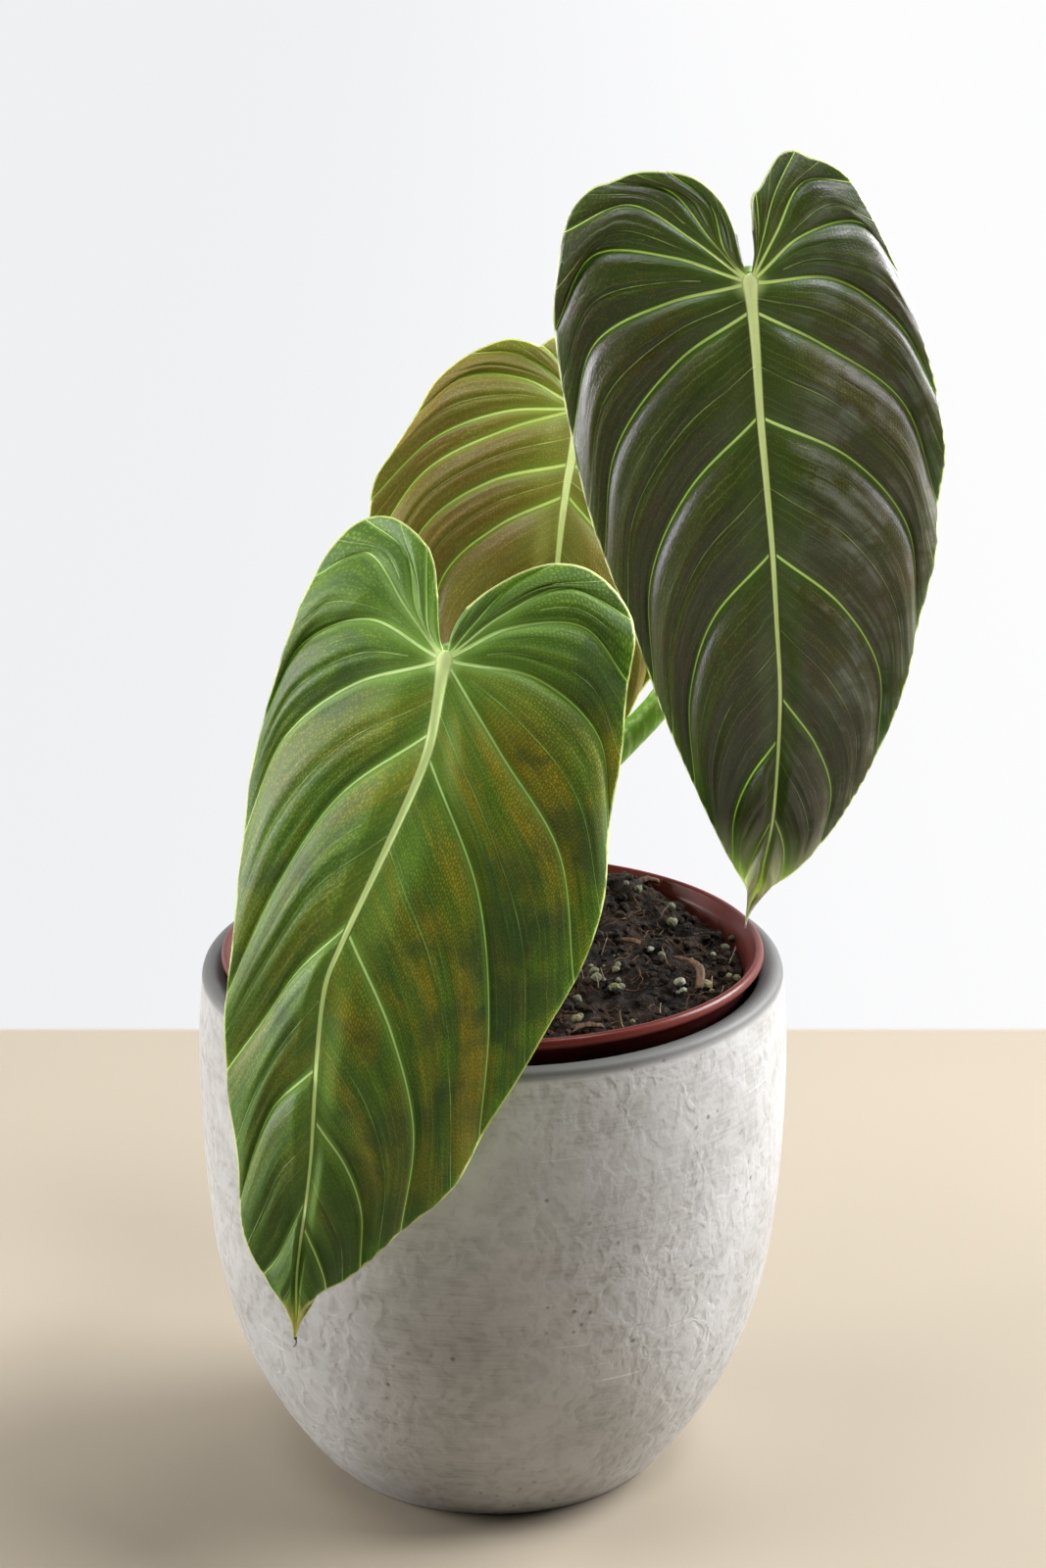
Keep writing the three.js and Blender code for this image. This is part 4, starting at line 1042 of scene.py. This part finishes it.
def crest_spot(leaf, length, left, right, w):
    """A point over the round top of the midrib, w from -1 at its left foot to 1 at its right."""
    foot = left if w < 0 else right
    middle = (left["flat"] + right["flat"]) / 2
    taper = 1 - 0.6 * min(max(middle.imag / length, 0), 1)
    rise = bend(leaf, length, middle.real, middle.imag) + 0.5 * RIB_CREST * taper
    round_top = math.cos(w * math.pi / 2)
    return {
        **foot,
        "flat": middle + (foot["flat"] - middle) * abs(w),
        "lift": foot["lift"] * (1 - round_top) + rise * round_top,
        "rib": foot["rib"] * (1 - round_top) + (RIB_DEPTH + RIB_CREST) * taper * round_top,
        "midrib": abs(w) * rib_narrowing(middle.imag, length),
        "vein": OFF_VEIN,
    }


def edge_finder(leaf, length):
    """The outline of a blade as close points, to find how far any point is from the edge."""
    cuts = 300
    outline = kdtree.KDTree(2 * (cuts + 1))
    for half in (leaf["left"], leaf["right"]):
        edge = [complex(u, v) for u, v in half["edge"]]
        for i in range(cuts + 1):
            point = slender(leaf, length, curve_point(edge, i / cuts))
            outline.insert((point.real, point.imag, 0), i)
    outline.balance()
    return outline


def make_blade(leaf, face_material, back_material):
    """A blade as a fine grid of lines that follow its veins, over a thinner-edged underside."""
    joint, down, across, out, length = hanging_axes(leaf)
    per_vein, steps, crest = 16, 42, 4
    lines = (len(leaf["left"]["veins"]) - 1) * per_vein
    columns = 2 * (steps + crest)
    outline = edge_finder(leaf, length)
    rows = [[half_row(leaf, side, length, i / per_vein, steps) for side in (-1, 1)] for i in range(lines + 1)]
    bm = bmesh.new()
    bmesh.ops.create_grid(bm, x_segments=columns, y_segments=lines, size=1)
    names = ("vein", "minor", "midrib", "width", "edge", "tip", "knot")
    facts = {name: bm.verts.layers.float.new(name) for name in names}
    weave = bm.verts.layers.float_vector.new("weave")
    flat_layer = bm.verts.layers.float_vector.new("flat")
    shift = bm.verts.layers.float_vector.new("shift")
    undersides = {}
    for vert in bm.verts:
        left, right = rows[round((1 - vert.co.y) / 2 * lines)]
        column = round((vert.co.x + 1) / 2 * columns) - steps - crest
        if abs(column) < crest:
            spot = crest_spot(leaf, length, left[0], right[0], column / crest)
        else:
            spot = dict((left if column < 0 else right)[abs(column) - crest])
        flat = spot["flat"]
        if flat.imag < JOINT_RADIUS:
            spot["midrib"] = min(spot["midrib"], abs(flat) / JOINT_RADIUS + 0.3)
        spot["edge"] = outline.find((flat.real, flat.imag, 0))[2]
        spot["tip"] = abs(flat - complex(0, length))
        spot["knot"] = abs(flat)
        for name, layer in facts.items():
            vert[layer] = spot[name]
        vert[weave] = spot["weave"]
        vert[flat_layer] = (flat.real, flat.imag, 0)
        calm = 0.85 * smoothstep(length - 16, length - 5, flat.imag)
        spine = bend(leaf, length, along(leaf["midrib"], flat.imag), flat.imag)
        lift = spot["lift"] + (spine - spot["lift"]) * calm
        vert.co = joint + across * flat.real + down * flat.imag + out * lift
        thin = 1 - 0.85 * smoothstep(20, 4, spot["tip"])
        facing = max(math.exp(-(spot["knot"] / 7) ** 2), smoothstep(24, 9, spot["tip"]))
        rim = 1 - smoothstep(0, 4, spot["edge"])
        thickness = BLADE_THICKNESS - (BLADE_THICKNESS - BLADE_EDGE_THICKNESS) * rim
        undersides[vert] = (thickness * max(thin, 0.6) + spot["rib"] * thin * thin, facing)
    bm.normal_update()
    for vert, (depth, facing) in undersides.items():
        normal = vert.normal if vert.normal.dot(out) > 0 else -vert.normal
        vert[shift] = -normal.lerp(out, facing).normalized() * depth
    made = bmesh.ops.extrude_face_region(bm, geom=bm.faces[:])["geom"]
    under = {item for item in made if isinstance(item, bmesh.types.BMVert)}
    for vert in under:
        vert.co += vert[shift]
    for face in bm.faces:
        face.material_index = 1 if all(vert in under for vert in face.verts) else 0
    bm.verts.layers.float_vector.remove(shift)
    bmesh.ops.recalc_face_normals(bm, faces=bm.faces)
    node = leaf["name"] + "_blade"
    finish_piece(leaf["name"] + "_velvet", bm, [face_material, back_material], node)


def make_tip_thread(leaf, material):
    """The dried end of a drip tip: a dark bead that runs out into a short curled thread."""
    joint, down, across, out, length = hanging_axes(leaf)
    reach = leaf["left"]["edge"][-1][1] - 0.6
    painted_light_side = along(leaf["midrib"], reach)
    end = joint + down * reach + across * painted_light_side + out * (bend(leaf, length, painted_light_side, reach) - 0.3)
    steps = 12
    route = []
    for i in range(steps + 1):
        place = end + down * (2.4 * i / steps) + across * (0.5 * math.sin(i / 4))
        route.append((place, 0.13 + 0.3 * math.exp(-(i / 2) ** 2)))
    finish_piece(leaf["name"] + "_tip_thread", tube_mesh([route], 4), [material])


def make_stalk(leaf, material):
    """A leaf stalk, swollen where it clasps the stem and again at the knee behind its blade."""
    joint, _, _, out, _ = hanging_axes(leaf)
    depth = BLADE_THICKNESS + RIB_DEPTH + RIB_CREST
    points = [Vector(point) for point in leaf["stalk"]]
    points += [joint - out * (depth + 4), joint - out * (depth - 0.3)]
    steps = 90
    route = []
    for i in range(steps + 1):
        way = i / steps
        clasp = 0.8 * math.exp(-way * 14)
        knee = 0.25 * math.exp(-((way - 0.93) / 0.03) ** 2)
        radius = STALK_RADIUS - (STALK_RADIUS - STALK_END_RADIUS) * way + clasp + knee
        route.append((curve_point(points, way), radius))
    node = leaf["name"] + "_stalk"
    finish_piece(leaf["name"] + "_petiole", tube_mesh([route], 8), [material], node)


def make_stem(material):
    """The short stem with the swollen rings that its stalks leave from."""
    points = [Vector(point) for point in STEM_ROUTE]
    steps = 140
    route = []
    for i in range(steps + 1):
        way = i / steps
        place = curve_point(points, way)
        ring = max(math.exp(-((place.z - height) / 3) ** 2) for height in STEM_RINGS)
        scar = max(math.exp(-((place.z - height - 2.2) / 0.35) ** 2) for height in STEM_RINGS)
        tip = math.sqrt(max(1 - way ** 12, 0.02))
        route.append((place, (STEM_RADIUS - way + 0.9 * ring - 0.3 * scar) * tip))
    finish_piece("stem_skin", tube_mesh([route], 10), [material], "stem")


# Stage, camera and light
def make_slab(name, place, turn, near):
    """A plain stage plane that turns near-white, as if lit from within, behind the pot, with painted light
    making it brighter towards the right.
    """
    bm = bmesh.new()
    bmesh.ops.create_grid(bm, x_segments=1, y_segments=1, size=3)
    bmesh.ops.transform(bm, matrix=Matrix.Translation(place) @ turn, verts=bm.verts)
    plain = Finish(name, roughness=0.9, specular_ior_level=0.0, emission_strength=1.0)
    spot = plain.place()
    far = plain.range(plain.part(spot, "Y"), *FLOOR_ENDS)
    soft = plain.range(plain.noise(spot, 5.0, 2.0), 0.2, 0.8, 0.97, 1.03)
    # Painted light: the glow grows brighter towards the right.
    painted_light_side = plain.range(plain.part(spot, "X"), -0.2, 0.25)
    white = plain.mix(painted_light_side, srgb(239, 240, 242), srgb(253, 253, 254))
    plain.feed(plain.shader["Base Color"], plain.mix(1.0, plain.mix(far, near, BLACK), soft, "MULTIPLY"))
    plain.feed(plain.shader["Emission Color"], plain.mix(far, BLACK, white))
    mesh = as_mesh(name, bm)
    mesh.materials.append(plain.material)
    piece = placed(name, mesh)


def make_camera():
    data = bpy.data.cameras.new("camera")
    data.lens = CAMERA_LENS
    data.sensor_width = CAMERA_SENSOR
    camera = placed("camera", data)
    camera.location = CAMERA_PLACE
    camera.rotation_euler = (CAMERA_PITCH, 0, 0)
    bpy.context.scene.camera = camera


def make_light(name, place, target, size, power, tint):
    data = bpy.data.lights.new(name, "AREA")
    data.shape = "DISK"
    data.size = size
    data.energy = power
    data.color = tint
    light = placed(name, data)
    light.location = place
    light.rotation_euler = (Vector(target) - Vector(place)).to_track_quat("-Z", "Y").to_euler()


def make_world():
    world = bpy.data.worlds.new("studio")
    world.use_nodes = True
    background = world.node_tree.nodes["Background"].inputs
    background["Color"].default_value = (0.93, 0.95, 1.0, 1)
    background["Strength"].default_value = STUDIO_FILL
    bpy.context.scene.world = world


# Looks of the three blades, and where grains, strips and hairs lie on the mix
FRONT_LOOK = {
    "deep": srgb(54, 85, 19), "green": srgb(124, 156, 42), "light": srgb(184, 204, 84),
    "halo": srgb(138, 180, 78), "vein": srgb(222, 252, 168), "rib": srgb(232, 255, 174),
    "edge": srgb(192, 198, 130), "drip_tip": srgb(176, 176, 92), "dry_tip": srgb(120, 76, 40),
    # The mottle colour also serves as the painted shade on the folded-back right side, by the share that
    # follows it.
    "mottle_and_fold_shade": srgb(36, 46, 44), "fold_shade_share": 0.62, "painted_sheen_share": 0.0, "tip_reach": 15.0,
    "gold": srgb(206, 160, 34), "gold_amount": 0.75,
    "gold_side": (-30, 12), "gold_top": (-10, 20), "gold_foot": (150, 120),
    "roughness": 0.5, "specular": 0.26, "sheen": 0.03, "sheen_tint": (0.62, 0.72, 0.55, 1),
}
RIGHT_LOOK = {
    "deep": srgb(39, 43, 5), "green": srgb(80, 82, 17), "light": srgb(112, 114, 34),
    "halo": srgb(82, 118, 26), "vein": srgb(224, 242, 150), "rib": srgb(240, 255, 186),
    # The right blade's tip colours are its own pale cream, brightened further as painted light to stand in
    # for light shining through the thin tip.
    "edge": srgb(212, 216, 164), "drip_tip": srgb(220, 230, 180), "dry_tip": srgb(246, 248, 214),
    # The right blade takes painted sheen on the fold crests of its right half.
    "mottle_and_fold_shade": srgb(82, 58, 10), "fold_shade_share": 0.0, "painted_sheen_share": 0.44, "tip_reach": 34.0,
    "gold": srgb(118, 84, 12), "gold_amount": 0.4,
    "gold_side": (0, 20), "gold_top": (-10, 20), "gold_foot": (150, 100),
    "roughness": 0.39, "specular": 0.66, "sheen": 0.02, "sheen_tint": (0.72, 0.72, 0.82, 1),
}
BACK_LOOK = {
    "deep": srgb(108, 98, 27), "green": srgb(160, 146, 68), "light": srgb(190, 182, 104),
    "halo": srgb(146, 174, 60), "vein": srgb(218, 236, 134), "rib": srgb(240, 252, 184),
    "edge": srgb(206, 214, 140), "drip_tip": srgb(170, 176, 100), "dry_tip": srgb(196, 196, 140),
    "mottle_and_fold_shade": srgb(140, 104, 44), "fold_shade_share": 0.0, "painted_sheen_share": 0.0, "tip_reach": 15.0,
    "gold": srgb(140, 92, 38), "gold_amount": 0.9,
    "gold_side": (-50, -30), "gold_top": (-30, 10), "gold_foot": (150, 100),
    "roughness": 0.42, "specular": 0.45, "sheen": 0.04, "sheen_tint": (0.74, 0.7, 0.8, 1),
}

PUMICE_PLACES = [(44, 22.6, 3.4), (43.9, 32.2, 2.8), (50.7, -17, 3.6), (24.6, -17.6, 3.2),
                 (28.9, -22, 3), (20.1, -26.6, 2.8), (19.7, -41.3, 2.8), (58.3, -12, 2.2),
                 (56.5, -10.5, 1.8), (58.4, 15.9, 2.2), (36, 47.9, 2.8), (40.8, 1.7, 2), (30.5, -19.5, 2.4)]
PERLITE_PLACES = [(38.2, 3.3, 2.2), (44.4, -18.9, 3), (53.4, 6.1, 1.8), (45.2, -21.5, 2)]
BARK_STRIPS = [(46.5, -11.5, 21, 2.2, -1.35, 3), (21.6, -45.5, 9, 2.4, 0.4, 1),
               (33.4, 8.2, 5, 1.6, -0.5, 0.6), (-30, 20, 9, 3, 1, 1), (-18, -36, 8, 2.6, 2, 1.2),
               (38.3, 45, 6, 3, 0.2, 0.8), (-44, -8, 10, 3, 1.8, 1.5), (6, 42, 8, 3, 2.6, 1)]
HAIR_PLACES = [(56.8, -3.1, 8), (51.5, -20.8, 6.5), (54, -22, 4.5), (30.6, -43.2, 7), (39.4, -35.4, 4)]

# Assembly
front_face = blade_face("Young velvet leaf", FRONT_LOOK)
right_face = blade_face("Old velvet leaf", RIGHT_LOOK)
back_face = blade_face("Back velvet leaf", BACK_LOOK)
young_back = blade_back("Young leaf underside", srgb(112, 138, 78), srgb(176, 194, 128), srgb(128, 140, 84))
old_back = blade_back("Old leaf underside", srgb(104, 126, 70), srgb(166, 180, 110), srgb(138, 104, 84))
lime_skin = stalk_skin("Leaf stalk skin", srgb(92, 140, 30), srgb(128, 172, 66), srgb(176, 200, 112))
stem_skin = stalk_skin("Stem skin", srgb(86, 104, 48), srgb(110, 132, 62), srgb(140, 128, 84))
dark_mix = mix_soil("Damp potting mix", srgb(15, 10, 7), srgb(47, 31, 18), srgb(88, 63, 37), 0.0012)
peat = mix_soil("Peat crumb", srgb(15, 10, 7), srgb(46, 31, 18), srgb(86, 63, 37), 0.0008)
pumice = mineral("Pumice", srgb(124, 120, 84), srgb(52, 46, 32), srgb(104, 106, 88))
perlite = mineral("Perlite", srgb(146, 146, 128), srgb(84, 82, 68), srgb(128, 132, 112))
bark = bark_fibre("Bark", srgb(106, 76, 46), srgb(42, 28, 18))
coir = bark_fibre("Coir", srgb(118, 84, 50), srgb(60, 40, 24))
fine_root = bark_fibre("Fine roots", srgb(200, 182, 150), srgb(146, 122, 90))
dried_tip = bark_fibre("Dried tip", srgb(92, 62, 40), srgb(40, 28, 22))

make_cover_pot(stoneware())
make_nursery_pot(nursery_plastic())
make_mix(dark_mix)
scattered("mix_crumbs", peat, 800, (1.4, 4.2), 11, 0.0)
scattered("pumice_grains", pumice, 52, (1.4, 3), 5, 0.12, PUMICE_PLACES, 2)
scattered("perlite_grains", perlite, 15, (0.8, 1.5), 8, 0.15, PERLITE_PLACES, 2)
make_bark(bark, BARK_STRIPS)
make_fibres("coir_threads", coir, 420, 21, (5, 14), 0.1, 0.0)
make_fibres("root_hairs", fine_root, 26, 4, (3, 7), 0.16, 0.75, HAIR_PLACES)
make_stem(stem_skin)
for leaf, face, back in ((FRONT_LEAF, front_face, young_back), (RIGHT_LEAF, right_face, old_back),
                         (BACK_LEAF, back_face, old_back)):
    make_blade(leaf, face, back)
    make_stalk(leaf, lime_skin)
make_tip_thread(FRONT_LEAF, dried_tip)

# Each light is named, then has its place, target, size, power and tint
LIGHTS = [
    ("right window", (1.3, 0.45, 0.7), (0, 0, 0.12), 1.0, 56, (0.98, 0.99, 1.0)),
    ("left window", (-1.25, 0.16, 0.3), (0, 0, 0.07), 0.75, 23, (1.0, 0.995, 0.985)),
    ("high left", (-0.5, -0.3, 1.5), (0, 0, 0.2), 0.6, 6.5, (1.0, 0.995, 0.985)),
    ("high right", (0.6, -0.4, 1.45), (0, 0, 0.2), 0.42, 11, (0.99, 0.99, 1.0)),
    ("high back", (0.5, 1.0, 1.5), (0, 0, 0.2), 0.9, 10, (0.97, 0.98, 1.0)),
]

upright = Matrix.Rotation(math.radians(90), 4, "X")
make_slab("pale floor", (0, 0, -0.0002), Matrix.Identity(4), srgb(160, 150, 135))
make_slab("pale backdrop", (0, BACKDROP_DISTANCE, 0), upright, srgb(240, 241, 243))
make_camera()
make_world()
for light in LIGHTS:
    make_light(*light)
bpy.context.scene.view_settings.view_transform = "Standard"
